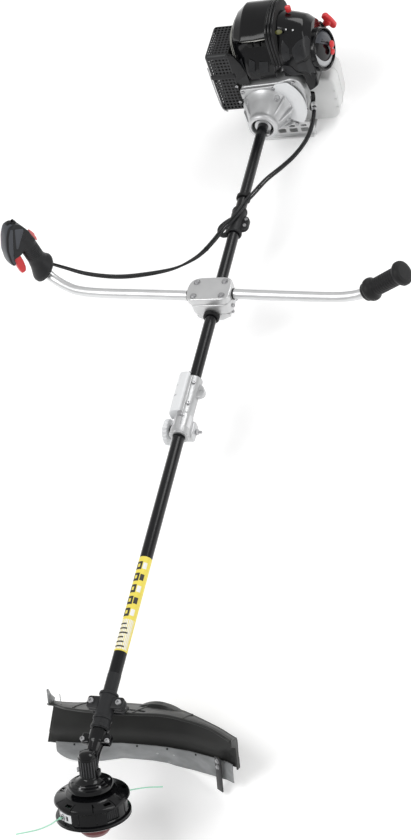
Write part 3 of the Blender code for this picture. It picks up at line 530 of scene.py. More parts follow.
# ---------------------------------------------------------------- handlebar
bar_points = [(-404.3, 1071.8, 135.5), (-401, 1070.6, 115), (-397.5, 1069.5, 91.4), (-393.9, 1068.2, 68), (-390.5, 1065.8, 55), (-379, 1058.5, 43),
              (-361, 1049, 35.5), (-336, 1037, 30.5), (-307, 1027, 28), (-250, 1018, 28), (-150, 1010.5, 28), (-60, 1003.8, 28), (-48, 1003, 28),
              (48, 1003, 28), (60, 1002.4, 28), (150, 994.5, 28), (247, 987, 28), (280, 985, 28.8), (305, 984, 32.5), (325, 984, 38),
              (341, 984, 46), (375, 983.6, 68), (410, 983, 90.6)]
put("handlebar_tube", sweep(catmull(bar_points, 6), 10.45, 32), BAR, "machine", M, ["handlebar"])


def clamp_plate(name, outline, z0, z1, rep, bevel=3.2, cuts=()):
    mesh = prism(fillet(outline, 9, 4), z0, z1, bevel, 4)
    mesh = boolean(mesh, *cuts) if cuts else mesh
    return put(name, mesh, ALU_SMOOTH, "machine", M, [rep])


def bar_cut():
    return placed(lathe([(0, 80), (10.8, 80), (10.8, -80), (0, -80)], 40), T(0, 1003, 28) @ ACROSS)


def shaft_cut(r=12.3):
    return placed(lathe([(0, 1100), (r, 1100), (r, 900), (0, 900)], 40), Matrix.Rotation(-math.pi / 2, 4, "X"))


clamp_plate("clamp_top_plate", [(-37, 973.5), (39, 973.5), (47, 981), (49, 1010), (45, 1029), (30, 1035.5), (-28, 1035.5), (-43, 1029), (-49, 1012), (-47, 983)],
            28.5, 46.2, "handlebar_clamp_top", 3.0, (bar_cut(),))
clamp_plate("clamp_middle_block", [(-33, 973), (37, 973), (46, 982), (46, 1026), (35, 1034), (-33, 1034), (-43, 1025), (-43, 983)],
            0.4, 27.8, "handlebar_clamp_middle", 2.6, (bar_cut(), shaft_cut()))
base = placed(prism(fillet([(-34, -0.5), (40, -0.5), (40, -9), (31, -13), (20, -19.5), (-17, -19.5), (-30, -11), (-34, -7)], 5, 4), -1032, -973, 2.6, 3), FRONT)
base = boolean(base, shaft_cut())
put("clamp_base_block", base, ALU_SMOOTH, "machine", M, ["handlebar_clamp_base"])
for x in (-30, 31):
    for yy in (984, 1022):
        put("bolt_seat_%d_%d" % (x, yy), lathe([(8.2, 46.3), (8.2, 46.9), (6.9, 46.9), (6.9, 46.3)], 32, ring=True, r=0.2), ALU_SMOOTH, "machine", M @ T(x, yy, 0))
        put("bolt_gap_%d_%d" % (x, yy), lathe([(0, 46.45), (7, 46.45), (7, 46.1), (0, 46.1)][::-1], 32), GAP_AND_SHADE_DARK, "machine", M @ T(x, yy, 0))
        screw((x, yy, 46.3), (0, 0, 1), "machine", 5.0, 4.6, "hex")
        put("clamp_stud_%d_%d" % (x, yy), lathe([(0, 30), (3, 30), (3, 26), (0, 26)], 16), STEEL, "machine", M @ T(x, yy, 0))
for yy in (986, 1020):
    screw((46, yy, 12), (1, 0, 0), "machine", 4.2, 3.6)
    screw((40, yy, -6), (1, 0, 0), "machine", 4.2, 3.6)
put("clamp_ring", lathe([(17, 971), (17, 962), (12.3, 962), (12.3, 971)], 48, ring=True, r=1.6), RUBBER, "machine", AXIAL)
put("clamp_cushion", lathe([(11.8, 50.8), (11.8, 48), (10.6, 48), (10.6, 50.8)], 40, ring=True, r=0.4), RUBBER, "machine", M @ T(0, 1003, 28) @ ACROSS)
put("clamp_cushion_right", lathe([(11.8, -49), (11.8, -51.8), (10.6, -51.8), (10.6, -49)], 40, ring=True, r=0.4), RUBBER, "machine", M @ T(0, 1003, 28) @ ACROSS)

# ---------------------------------------------------------------- left grip
GRIP_L = Vector((0.841, -0.011, 0.541)).normalized()
LEFT = M @ T(341, 984, 46) @ Vector((0, 0, 1)).rotation_difference(GRIP_L).to_matrix().to_4x4()
profile = [(0, 97), (17, 97), (23.4, 95.6), (25.2, 91.6), (25.2, 86), (22, 81), (18.2, 77)]
for k in range(9):
    z = 74 - 6 * k
    profile += [(18.6 - 0.05 * k, z), (18.6 - 0.05 * k, z - 3.6), (17.7 - 0.05 * k, z - 4.2), (17.7 - 0.05 * k, z - 5.4)]
profile += [(19, 18), (23.5, 13), (24.4, 8), (23.5, 3), (20, -1), (19, -7.6), (12, -8), (11.2, -7), (11.2, 60), (0, 60)]
put("left_grip_rubber", lathe(profile, 56, r=0.7), RUBBER, "machine", LEFT, ["left_grip"])

# ---------------------------------------------------------------- control handle
UP = Vector((-0.15, 0.05, 0.98)).normalized()
OUT = Vector((-0.64, -0.77, 0.0))
OUT = (OUT - UP * OUT.dot(UP)).normalized()
HAND = M @ T(-393, 1068, 62) @ Matrix((OUT, UP.cross(OUT), UP)).transposed().to_4x4()
grip = lathe([(0, 100), (15, 100), (18.6, 96), (18.8, 70), (18.6, 46), (19.4, 32), (21.8, 20), (25.4, 11), (28.6, 4), (28.9, -1), (26.5, -5), (16, -6), (12, 3), (12, 82), (0, 82)], 48, r=1.2)


def slant(mesh, top=34.0):
    """Leans the grip's flared foot, lower on the outer side."""
    for v in mesh.vertices:
        if v.co.z < top:
            v.co.z -= 0.42 * v.co.x * min((top - v.co.z) / 26, 1)
    return mesh


slant(grip)
head_out = fillet([(-18, 73), (-15, 106), (-9, 126), (2, 138), (18, 138), (32, 124), (47.6, 98), (54.6, 72), (54.2, 60), (50, 57.5), (45.6, 60), (44.6, 70), (24, 68), (14, 74)], 6, 5)
cap = placed(prism(head_out, -17, 17, 5.5, 4), FRONT)
whole = boolean(grip, cap, op="UNION")
FACE_OUT = fillet([(11, 131), (16, 135), (29, 122), (44.2, 97), (51.6, 71), (51.2, 62), (48.6, 60), (46.6, 64), (46, 71), (29.5, 101)], 3, 5)
FACE_IN = fillet([(8, 128.5), (-7.5, 118), (-7, 113), (25, 86), (28.5, 89)], 2, 4)
whole = boolean(whole, placed(lathe([(0, 82), (12, 82), (12, -20), (0, -20)], 40), Matrix.Identity(4)), box((21, -8, 58), (45.4, 8, 80)), box((-30, -6, 40), (-16.2, 6, 96)),
                placed(prism(FACE_OUT, 15.2, 30), FRONT), placed(prism(FACE_OUT, -30, -15.2), FRONT))
put("control_shell", whole, GREYP, "machine", HAND, ["control_grip"])
for nm, z0, z1 in (("", -17.2, -15.0), ("_back", 15.0, 17.2)):
    put("control_face" + nm, placed(prism(FACE_OUT, z0, z1, 1.6, 4), FRONT), GREYFACE, "machine", HAND)
    put("control_wedge" + nm, placed(prism(FACE_IN, z0 - (0.4 if z0 < 0 else 0), z1 + (0.4 if z0 > 0 else 0), 1.2, 3), FRONT), GREYFACE, "machine", HAND)
outer = resample([(6, 139.0), (18, 138.4), (32, 124), (47.6, 98), (54.4, 72), (54.2, 61)], 6)
rows = []
for q in range(13):
    w = -13.5 + 27 * q / 12
    crown = 1.6 * (1 - (w / 13.5) ** 2) ** 0.5 - 0.6
    rows.append([(a + crown * 0.85, w, b + crown * 0.5) for a, b in outer])
put("control_outer_panel", grid(rows, 1.4), GREYFACE, "machine", HAND)
for k, (x, z) in enumerate([(-12, 84), (40, 80)]):
    screw((x, 16.8, z), (0, 1, 0), "machine", 2.0, 1.0, matrix=HAND, mat=GREYP)
    screw((x, -16.8, z), (0, -1, 0), "machine", 2.0, 1.0, matrix=HAND, mat=GREYP)
for k in range(7):
    put("grip_rib_%d" % k, lathe([(19.4, 38.6 + 4.4 * k), (19.4, 36.8 + 4.4 * k), (17, 36.2 + 4.4 * k), (17, 39.2 + 4.4 * k)], 40, ring=True, r=0.4), GREYP, "machine", HAND)
put("grip_foot_disc", slant(lathe([(27.2, -3.0), (27.2, -6.4), (15, -6.4), (15, -3.0)], 44, ring=True, r=0.8)), RUBBER, "machine", HAND)
trig = fillet([(4, -3), (4, 4), (-11, 5), (-13, -6), (-12, -22), (-9, -36), (-4, -44), (6, -43), (6, -32), (5.4, -22), (3.8, -13)], 3.2, 4)
put("trigger_blade", placed(prism(trig, -7.6, 7.6, 2.4, 4), FRONT), RED, "trigger", HAND @ T(40, 0, 69), ["throttle_trigger"])
lock = fillet([(2.6, 2), (2.6, -4), (0, -26), (-2.6, -26.6), (-4.6, -20), (-4.0, -14), (-5.4, -10), (-4.4, -5), (-2, 3)], 1.4, 4)
put("lock_blade", placed(prism(lock, -4.6, 4.6, 1.4, 3), FRONT), PINK, "lock", HAND @ T(-20, 0, 92), ["throttle_lock"])
sw = merged(box((-6, -5, 0), (6, 5, 3.6), 1.0), box((-2.2, -4, 2), (2.2, 4, 6), 1.2))
put("switch_button", sw, GREYP, "switch", HAND @ T(8, 0, 138.4), ["stop_switch"])
put("switch_frame", boolean(box((-6, -8, 133), (20, 8, 138.1), 1.2), box((-3, -5.6, 120), (16, 5.6, 150))), RUBBER, "machine", HAND)

# ---------------------------------------------------------------- throttle cables
route = [(-391, 1096, 43.4), (-352, 1080, 46), (-292, 1060, 45), (-221, 1049, 44), (-159, 1054, 42), (-98, 1071, 38), (-62, 1098, 34),
         (-43, 1126, 30), (-29, 1161, 26), (-17, 1193, 24), (-4, 1218, 23.2), (9, 1246, 22.8), (18, 1280, 19.5), (27, 1306, 15), (46, 1354, 9),
         (72, 1392, 6), (94, 1426, 5), (111, 1468, 4), (118, 1508, 3), (118, 1547, 3), (114, 1582, 3), (108, 1606, 4), (104, 1622, 6)]
centre = catmull(route, 4)
strands = [[], []]
for i, (p, t, s, n) in enumerate(frames(centre)):
    fade = min(max((i / len(centre) - 0.24) / 0.2, 0), 1)
    a = 0.5 * math.sin(i * 0.035) + 1.3 * (1 - fade * fade * (3 - 2 * fade))
    off = (s * math.cos(a) + n * math.sin(a)) * 2.75
    strands[0].append(p + off)
    strands[1].append(p - off)
for k in range(2):
    o = put("throttle_strand_%d" % k, sweep(strands[k], 2.6, 14), SLEEVE, "machine", M, ["throttle_cable"])


def band(name, at_, r0, r1, w, mat, shape=(1, 1)):
    """A band round the cable at a route index fraction."""
    i = int(at_ * (len(centre) - 1))
    p, t, s, n = frames(centre)[i]
    mesh = lathe([(r1, w / 2), (r1, -w / 2), (r0, -w / 2), (r0, w / 2)], 40, ring=True, r=0.5)
    mesh.transform(Matrix.Diagonal((shape[0], shape[1], 1, 1)))
    m = Matrix((s, n, t)).transposed().to_4x4()
    m.translation = p * MM
    return put(name, mesh, mat, "machine", M @ m)


band("cable_tie_engine", 0.952, 4.6, 5.4, 9, ZINC, (1.0, 0.95))
band("cable_tie_shaft", 0.655, 4.6, 5.35, 5, RUBBER)
band("cable_tie_bend", 0.43, 4.6, 5.35, 4, RUBBER)
tie = lathe([(15.8, 1313), (15.8, 1305), (12.2, 1305), (12.2, 1313)], 48, ring=True, r=0.6)
put("shaft_tie", tie, RUBBER, "machine", AXIAL)
put("shaft_tie_lock", box((11, 1304.5, 7.5), (19, 1313.5, 13.5), 1.4), RUBBER, "machine")

# ---------------------------------------------------------------- harness clamp
hb = lathe([(16.4, 1271), (16.4, 1199), (12.4, 1199), (12.4, 1271)], 56, ring=True, r=1.6)
hb = placed(hb, Matrix.Rotation(-math.pi / 2, 4, "X"))
eye = prism(fillet([(-10, 1196), (-22, 1192), (-34, 1198), (-41, 1212), (-40, 1226), (-30, 1240), (-18, 1250), (-10, 1252)], 7, 4), -3, 3, 1.6)
lug = prism(fillet([(10, 1208), (24, 1210), (29, 1217), (29, 1240), (23, 1248), (10, 1250)], 4, 4), -5, 5, 1.8)
ribs = [placed(lathe([(17.0, b + 4), (17.0, b), (14, b), (14, b + 4)], 56, ring=True, r=0.8), Matrix.Rotation(-math.pi / 2, 4, "X")) for b in (1201, 1264)]
hb = boolean(hb, eye, lug, *ribs, op="UNION")
hb = boolean(hb, prism(fillet([(-19.5, 1205), (-29, 1203), (-34, 1212), (-33, 1223), (-26, 1233), (-19.5, 1238)], 4, 4), -10, 10),
             placed(lathe([(0, 1300), (12.35, 1300), (12.35, 1150), (0, 1150)], 40), Matrix.Rotation(-math.pi / 2, 4, "X")),
             box((12, 1180, -0.5), (40, 1290, 0.5)))
put("harness_body", hb, GREYP, "machine", M, ["harness_clamp"])
for yy in (1220, 1238):
    screw((22, yy, 5), (0, 0, 1), "machine", 3.8, 3.4)

# ---------------------------------------------------------------- gearcase
case_pts = [(0, 34), (6, 33.8), (11, 32.4), (14.6, 29.6), (15.6, 26), (15.6, 24), (17, 23.4), (17, 20.6), (16, 20), (16, -11), (17.2, -13), (22, -16.5), (25, -18.2),
            (27.5, -18.6), (28.5, -20.2), (33.6, -21.4), (34.6, -23.2), (38, -24.2), (38.6, -26), (38.6, -30.8), (36.6, -30.8), (36.4, -26.6), (22, -22.6), (0, -22)]
case = lathe(case_pts, 72)
neck = lathe([(15.8, 68), (15.8, 50), (14.2, 46), (12.5, 30), (13.4, 14), (13.4, 0), (0, 0), (0, 68)][::-1], 56, r=1.2)
neck = placed(neck, R(39, "X") @ Matrix.Rotation(-math.pi / 2, 4, "X"))
ears = placed(box((-27, 43 - 38.4 + 2, -6.5), (27, 62 - 38.4 + 2, 6.5), 3), R(39, "X") @ T(0, 38.4, 0))
lug2 = box((14, -6, -12), (20, 6, 2), 2)
case = boolean(case, neck, ears, lug2, op="UNION")
tubecut = placed(lathe([(0, 90), (12.35, 90), (12.35, 44), (0, 44)], 40), R(39, "X") @ Matrix.Rotation(-math.pi / 2, 4, "X"))
split = placed(box((-40, 30, -0.6), (40, 90, 0.6)), R(39, "X"))
case = boolean(case, tubecut, split)
put("gearcase_shell", case, GLOSS, "lower_unit", HEAD, ["gearcase"])
# upright cooling ribs round the output cylinder and over its cap
for k in range(22):
    a = 360 / 22 * k
    if 60 < a < 120:
        continue
    put("case_rib_%02d" % k, box((14.2, -0.9, -9), (16.9, 0.9, 19.5), 0.5, 2), CASE_RIB, "lower_unit", HEAD @ R(a, "Z"))
for k in range(7):
    put("case_cap_rib_%d" % k, box((-13.5 + 0.9 * abs(k - 3), -0.7, 26.5), (13.5 - 0.9 * abs(k - 3), 0.7, 33.2 - 0.9 * abs(k - 3)), 0.5, 2), CASE_RIB, "lower_unit", HEAD @ T(0, -9 + 3 * k, 0))
for a in (200, 262, 324, 20):
    screw((32 * math.cos(math.radians(a)), 32 * math.sin(math.radians(a)), -21.2), (0, 0, 1), "lower_unit", 2.0, 2.2, matrix=HEAD)
screw((-14.5, -8, 3), (-0.88, -0.48, 0), "lower_unit", 4.0, 3.6, matrix=HEAD)
screw((0, 16, 25), (0, 0.2, 1), "lower_unit", 3.4, 3, matrix=HEAD)
for x in (-23, 23):
    screw((x, 12, 6.8), (0, 0, 1), "lower_unit", 4.2, 4.2)

# ---------------------------------------------------------------- line head
cap_pts = [(6, -33.4), (14, -33.6), (16, -35.2), (28, -36), (30, -37.6), (44, -39.4), (46, -41.2), (60, -43.8), (63.6, -45.6), (65, -48), (65, -49.4), (62.6, -49.4), (60, -46.6), (30, -41), (6, -38)]
cap_mesh = lathe(cap_pts, 96, ring=True)
notches = [placed(box((48, -0.7, -50), (70, 0.7, -40.4), 0.3), R(a, "Z")) for a in range(8, 360, 36)]
notches += [placed(box((52, -6.5, -47), (59, 6.5, -41.6), 1.2), R(a, "Z")) for a in (-110, -38, 34, 106, 178)]
cap_mesh = boolean(cap_mesh, *notches)
put("head_cap_shell", cap_mesh, GLOSS, "line_head", HEAD, ["head_cap"])
drum_pts = [(62.6, -49.7), (63.2, -52), (60.2, -53), (58.6, -55), (58.6, -72), (60, -75), (64.6, -76.4), (65.1, -78), (64.9, -79.4), (63.8, -79.8), (64.9, -80.4), (65, -82),
            (62, -84), (26, -84), (26, -81.4), (54.8, -79.4), (54.8, -49.7)]
drum = lathe(drum_pts, 96, ring=True)
cuts = []
for s in (1, -1):
    m = R(math.degrees(math.atan2(-0.832 * s, -0.555 * s)), "Z")
    cuts.append(placed(box((50, -9.5, -72.5), (70, 9.5, -57.5), 1.5), m))
for a in (150, 330):
    cuts.append(placed(box((50, -13, -73), (70, 13, -55), 1.5), R(a, "Z")))
put("head_drum", boolean(drum, *cuts), GLOSS, "line_head", HEAD, ["head_housing"])
for i, a in enumerate(range(0, 360, 30)):
    near = min(abs((a - b + 180) % 360 - 180) for b in (236.3, 56.3, 150, 330))
    if near > 15:
        put("drum_rib_%02d" % i, box((57.6, -0.8, -74.5), (59.4, 0.8, -53.5), 0.4, 2), GLOSS, "line_head", HEAD @ R(a, "Z"))
for s, side in ((1, "a"), (-1, "b")):
    turn = math.degrees(math.atan2(-0.832 * s, -0.555 * s))
    rows = []
    for q in range(13):
        b = math.radians(-9 + 29 * q / 12)
        rows.append([(59.6 * math.cos(b), 59.6 * math.sin(b), -57.8 - 14.7 * w / 4) for w in range(5)])
    plate_ = boolean(grid(rows, 1.8), placed(lathe([(0, 80), (4.2, 80), (4.2, 40), (0, 40)], 28), T(0, 0, -66) @ ACROSS), placed(box((50, 8, -70), (66, 14, -61), 1.2), Matrix.Identity(4)))
    put("eyelet_plate_" + side, plate_, WHITE, "line_head", HEAD @ R(turn, "Z"))
    put("eyelet_ring_" + side, lathe([(5.8, 61.4), (5.8, 57), (3.6, 57), (3.6, 61.4)], 32, ring=True, r=0.8), STEEL, "line_head", HEAD @ R(turn, "Z") @ T(0, 0, -66) @ ACROSS)
grip_face = {150: "c", 330: "d"}
for a, nm in grip_face.items():
    put("drum_latch_" + nm, merged(box((55.4, -12.4, -72.4), (57.8, 12.4, -55.6), 1.2), *[box((57, -10 + 4 * k, -70.5), (58.8, -8.6 + 4 * k, -57.5), 0.4, 2) for k in range(6)]),
        GREYP, "line_head", HEAD @ R(a, "Z"))
# line wound on the spool
for k in range(9):
    put("spool_turn_%d" % k, lathe([(44 + 1.1 * math.cos(t), -54.2 - 2.15 * k + 1.1 * math.sin(t)) for t in [2 * math.pi * j / 10 for j in range(10)]][::-1], 64, ring=True),
        LINE, "bump_unit", HEAD)
put("spool_body", lathe([(46, -50.3), (46, -52), (42.6, -52.2), (42.6, -73.4), (46, -73.6), (46, -74), (13, -74), (13, -67), (12.5, -67), (12.5, -50.3)], 64, ring=True), GREYP, "bump_unit", HEAD,
    ["spool"])
# bump knob: shallow dome with flutes
knob = lathe([(0, -75), (24.6, -75), (24.6, -89.2), (30.5, -91), (31, -99), (29, -107), (22, -115.6), (10, -120.6), (0, -121)], 64, r=1.4)
flutes = [placed(lathe([(0, -92), (3.4, -92), (3.4, -122), (0, -122)], 20), R(45 * k, "Z") @ T(32.6, 0, 0)) for k in range(8)]
put("bump_knob_shell", boolean(knob, *flutes), DARKRED, "bump_unit", HEAD, ["bump_knob"])
coil = [Vector((9.5 * math.cos(2 * math.pi * k / 20), 9.5 * math.sin(2 * math.pi * k / 20), -39.5 - 22 * k / 80)) for k in range(81)]
put("head_spring_wire", sweep(coil, 0.8, 8), STEEL, "line_head", HEAD, ["head_spring"])
for nm, pts in (("a", [(-33.5, -50.2, -66), (-40, -60.5, -66.5), (-46, -74, -68), (-62, -91, -70), (-93, -108, -72)]),
                ("b", [(33.5, 50.2, -66), (41, 61, -66.5), (52, 72, -68), (68, 84, -70), (91, 94, -72)])):
    put("line_" + nm, sweep(catmull(pts, 2.5), 1.15, 10), LINE, "line_head", HEAD, ["line_end_" + nm])
put("line_knot", merged(placed(lathe([(1.2 + 1.2 * math.cos(t), 1.2 * math.sin(t)) for t in [2 * math.pi * j / 10 for j in range(10)]], 20, ring=True), R(90, "X"))),
    LINE, "line_head", HEAD @ T(-36.5, -54.5, -66))

# ---------------------------------------------------------------- guard bracket
for nm, z0, z1, rep in (("cap", 0.4, 9, "guard_bracket_cap"), ("base", -9, -0.4, "guard_bracket_base")):
    half = placed(lathe([(15.8, 104), (15.8, 34), (12.4, 34), (12.4, 104)], 56, ring=True, r=1.4), Matrix.Rotation(-math.pi / 2, 4, "X"))
    plate_ = prism(fillet([(-34, 72), (34, 72), (34, 94), (-34, 94)], 5, 4), z0, z1, 1.6)
    rings_ = [placed(lathe([(17.4, y + 5), (17.4, y), (14, y), (14, y + 5)], 56, ring=True, r=1.0), Matrix.Rotation(-math.pi / 2, 4, "X")) for y in (36, 52, 98)]
    half = boolean(half, plate_, *rings_, op="UNION")
    if rep == "guard_bracket_base":
        inv = (M.inverted() @ HEAD)
        foot = placed(prism(fillet([(-30, 93), (30, 93), (30, 124), (-30, 124)], 5, 4), 57.1, 62, 1.4), inv)
        web = placed(box((-11, 95, 59), (11, 118, 72), 2), inv)
        half = boolean(half, foot, web, op="UNION")
    keep = box((-80, 0, z0 - 60 if z0 < 0 else 0.4), (80, 170, -0.4 if z0 < 0 else 70))
    half = boolean(half, keep, op="INTERSECT")
    half = boolean(half, placed(lathe([(0, 140), (12.35, 140), (12.35, 0), (0, 0)], 40), Matrix.Rotation(-math.pi / 2, 4, "X")))
    put("bracket_" + nm, half, GREYP, "lower_unit", M, [rep])
for x in (-26, 26):
    screw((x, 83, 9), (0, 0, 1), "lower_unit", 5.2, 4.6)
for x in (-22, 22):
    screw((x, 112, 62), (0, 0, 1), "lower_unit", 4.4, 3.8, "hex", matrix=HEAD)


# ---------------------------------------------------------------- guard
def wall_y(x):
    marks = [(-176, 193), (-150, 191), (-109, 193), (-58, 201), (-30, 205.5), (30, 205.5), (60, 203.5), (107, 195), (149, 181), (185, 168), (213, 150)]
    for (x0, y0), (x1, y1) in zip(marks, marks[1:]):
        if x <= x1:
            return y0 + (y1 - y0) * (x - x0) / (x1 - x0)
    return marks[-1][1]


def softened(f, x, w=14):
    return sum(f(x + d) for d in (-w, -w / 2, 0, w / 2, w)) / 5


def wall_top(x):
    return 26 if x < 90 else 26 - 26 * (x - 90) / 123


def reach_of(x):
    return 100 - 72 * min(max((abs(x) - 42) / 110, 0), 1)


def lean(x, h):
    return x + 24 * min(max((h + 56) / 84, 0), 1) * min(max((-100 - x) / 76, 0), 1)


cols = []
N = 72
for i in range(N + 1):
    x = -176 + 389 * i / N
    y, top, reach = softened(wall_y, x), softened(wall_top, x), softened(reach_of, x)
    col = []
    for s in (1.0, 0.8, 0.6, 0.4, 0.22, 0.1):
        col.append((x, y - reach * s, top + 0.29 * reach * s + (2.0 if 0.3 < s < 0.9 else 0)))
    col += [(x, y - 0.8, top + 1.2), (x, y + 0.6, top - 3), (x, y + 1.0, 8 if top > 14 else top - 6), (x, y + 1, -18), (x, y + 0.6, -34), (x, y + 2.4, -37), (x, y + 2.4, -53.5), (x, y + 1.2, -56)]
    cols.append([(lean(q[0], q[2]), q[1], q[2]) for q in col])
guard_mesh = grid(cols, 3.0, 0, offset=0)
slot_cut = prism(fillet([(22, 126), (56, 124), (56, 136), (22, 138)], 4, 4), 30, 80)
slot_cut2 = prism(fillet([(-56, 126), (-22, 126), (-22, 138), (-56, 136)], 4, 4), 30, 80)
guard_mesh = boolean(guard_mesh, slot_cut, slot_cut2)
put("guard_shell", guard_mesh, GUARD, "lower_unit", HEAD, ["guard"], angle=40)
# end faces
left_edge = [Vector(q) for q in cols[0]]
put("guard_end_bead", sweep(left_edge, 2.2, 12, up=Vector((1, 0, 0))), GUARD, "lower_unit", HEAD)
for k, x in ((1, 213),):
    y, top, reach = softened(wall_y, x), softened(wall_top, x), softened(reach_of, x)
    pts = [(y - reach, top + 0.29 * reach), (y, top + 1), (y + 1, -56), (y - 7, -56), (y - 10, top - 12), (y - reach, top + 0.29 * reach - 11)]
    d = 2.6
    put("guard_end_%d" % k, placed(prism(fillet(pts, 2.5, 2), x - (0 if k == 0 else d), x + (d if k == 0 else 0), 0.6), SIDE), GUARD, "lower_unit", HEAD)
# raised rim along the shelf's inner edge
rim = []
for i in range(N + 1):
    x = -174 + 385 * i / N
    y, top, reach = softened(wall_y, x), softened(wall_top, x), softened(reach_of, x)
    rim.append(Vector((lean(x, 28), y - reach, top + 0.29 * reach + 0.6)))
put("guard_rim", sweep(rim, 2.6, 14, up=Vector((0, 0, 1))), GUARD, "lower_unit", HEAD)
crease = []
for i in range(30):
    x = 96 + 112 * i / 29
    y, top = softened(wall_y, x), softened(wall_top, x)
    crease.append(Vector((x, y + 1.2, top - 9)))
put("guard_crease", sweep(crease, 1.6, 10), GUARD, "lower_unit", HEAD)

# hump and small fittings along the guard's outer edge
hump = []
for i in range(25):
    x = 18 + 84 * i / 24
    y, top = softened(wall_y, x), softened(wall_top, x)
    k = math.sin(math.pi * i / 24) ** 0.7
    hump.append([(x, y - 34 + 6 * k, top + 9.5), (x, y - 26, top + 8 + 9 * k), (x, y - 14, top + 4.6 + 13 * k), (x, y - 4, top + 2.4 + 9 * k), (x, y + 0.5, top - 4)])
put("guard_hump", grid(hump, 2.2), GUARD, "lower_unit", HEAD)
for k, x in enumerate((-84, -44, 40, 120)):
    y, top, reach = softened(wall_y, x), softened(wall_top, x), softened(reach_of, x)
    put("guard_bead_%d" % k, sweep([Vector((x, y - reach * (0.94 - 0.9 * i / 8), top + 0.29 * reach * (0.94 - 0.9 * i / 8) + 2.6 + (1.2 if 0 < i < 8 else 0))) for i in range(9)], 1.5, 10, up=Vector((1, 0, 0))), GUARD, "lower_unit", HEAD)
fin = prism(fillet([(-1, -2), (22, -2), (26, 3), (12, 16), (4, 30), (-1, 31)], 2, 3), -1.1, 1.1, 0.6, 2)
y, top, reach = softened(wall_y, -174), softened(wall_top, -174), softened(reach_of, -174)
put("guard_fin", fin, SKIRT, "lower_unit", HEAD @ T(-149.5, y - reach - 2, top + 0.29 * reach) @ SIDE)
wire_ = [Vector((-118, 150 + 0 * k, 42 + 3 * k)) for k in range(8)]
put("guard_wire", sweep(wire_, 0.7, 8, up=Vector((1, 0, 0))), STEEL, "lower_unit", HEAD)

LEVEL = math.tan(math.radians(51) - PITCH)


def foot_h(x, y):
    return max(-80 - (202.0 - y) / LEVEL + 0.10 * max(abs(x) - 75, 0), -86.0)


cols = []
for i in range(61):
    x = -157 + 357 * i / 60
    y = min(wall_y(x) - 3.6, 202.0)
    h1 = foot_h(x, y)
    h1 += 14 * max((-120 - x) / 37, 0) ** 2
    cols.append([(x, y, -50.5), (x, y, -57), (x, y - 0.5, -59), (x, y - 0.9, -64), (x, y - 0.9, min(h1 + 6, -66)), (x, y, min(h1 + 3, -67)), (x, y, h1 + 0.15)])
put("skirt_sheet", grid(cols, 1.9, 0, offset=0), SKIRT, "lower_unit", HEAD, ["guard_skirt"], angle=40)
for k, x in enumerate((-120, -60, 0, 60, 120, 168)):
    y = min(wall_y(x) - 3.6, 202.0)
    screw((x, y - 1.1, -53.5), (0, -1, 0), "lower_unit", 1.8, 1.2, matrix=HEAD, mat=GREYP)
knife = boolean(box((-1.15, -9, -106), (1.15, 9, -42), 0.5, 2), placed(lathe([(0, 5), (2.6, 5), (2.6, -5), (0, -5)], 20), T(0, 0, -52) @ ACROSS))
put("knife_blade", knife, KNIFE, "lower_unit", HEAD @ T(171, 160.5, 0) @ R(52, "Z"), ["line_knife"])
for zz in (-49, -60):
    screw((-1.2, 0, zz), (-1, 0, 0), "lower_unit", 3.6, 2.8, "hex", matrix=HEAD @ T(171, 160.5, 0) @ R(52, "Z"))

# ---------------------------------------------------------------- clutch housing
funnel_pts = [(52, 1606.4), (56, 1605.4), (57, 1603), (57, 1597), (55, 1594.6), (51.5, 1591), (46, 1576), (39.5, 1560), (35.6, 1550), (34, 1544), (34.6, 1541.5), (34.6, 1536),
              (32.6, 1532.4), (30.4, 1531), (26, 1531), (25.4, 1533), (25.4, 1561), (19.4, 1561), (19.4, 1540), (19.0, 1537), (12.4, 1537), (12.4, 1566), (27, 1566), (42, 1592), (43, 1606.4)]
funnel = placed(lathe(funnel_pts, 96, ring=True), Matrix.Rotation(-math.pi / 2, 4, "X"))
webs = []
for a, big in ((33, 1), (142, 1), (-38, 1), (-142, 1), (-4, 1), (180, 0), (-90, 0)):
    out_r = 60 if big else 57
    pts = [(31, 1543), (41, 1556), (out_r, 1590), (out_r, 1606), (30, 1606), (28, 1560)]
    webs.append(placed(prism(pts, -2.4 if big else -1.6, 2.4 if big else 1.6, 1.0, 2), Matrix(((math.cos(math.radians(a)), 0, -math.sin(math.radians(a)), 0), (0, 1, 0, 0), (math.sin(math.radians(a)), 0, math.cos(math.radians(a)), 0), (0, 0, 0, 1)))))
bosses = [placed(lathe([(7.6, 1606.4), (7.6, 1590), (5.5, 1584), (0, 1584), (0, 1606.4)][::-1], 32), T(47 * math.cos(math.radians(a)), 0, 47 * math.sin(math.radians(a))) @ Matrix.Rotation(-math.pi / 2, 4, "X")) for a in (48, 142, -38, -142)]
flange = placed(prism(fillet([(-53, 30), (-53, 59), (36, 63), (58, 52), (50, 30), (30, 44), (-30, 44)], 5, 4), -1606.4, -1598, 1.6, 3), FRONT)
webs.append(flange)
webs.append(placed(prism(fillet([(20, 1551), (33, 1551), (66, 1590), (74, 1606), (20, 1606)], 4, 3), -4, 4, 1.4, 3), R(52, "Y")))
funnel = boolean(funnel, *webs, *bosses, op="UNION")
funnel = boolean(funnel, placed(lathe([(0, 1608), (42, 1608), (42, 1592), (27, 1567), (0, 1567)], 64), Matrix.Rotation(-math.pi / 2, 4, "X")))
put("clutch_casting", funnel, ALU, "machine", M, ["clutch_housing"], angle=38)
put("clutch_rubber", lathe([(25.2, 1559.5), (25.2, 1543), (19.7, 1543), (19.7, 1559.5)], 64, ring=True, r=0.8), RUBBER, "machine", AXIAL)
for a in (48, 142, -38, -142):
    screw((47 * math.cos(math.radians(a)), 1584, 47 * math.sin(math.radians(a))), (0, -1, 0), "machine", 4.6, 4.2)
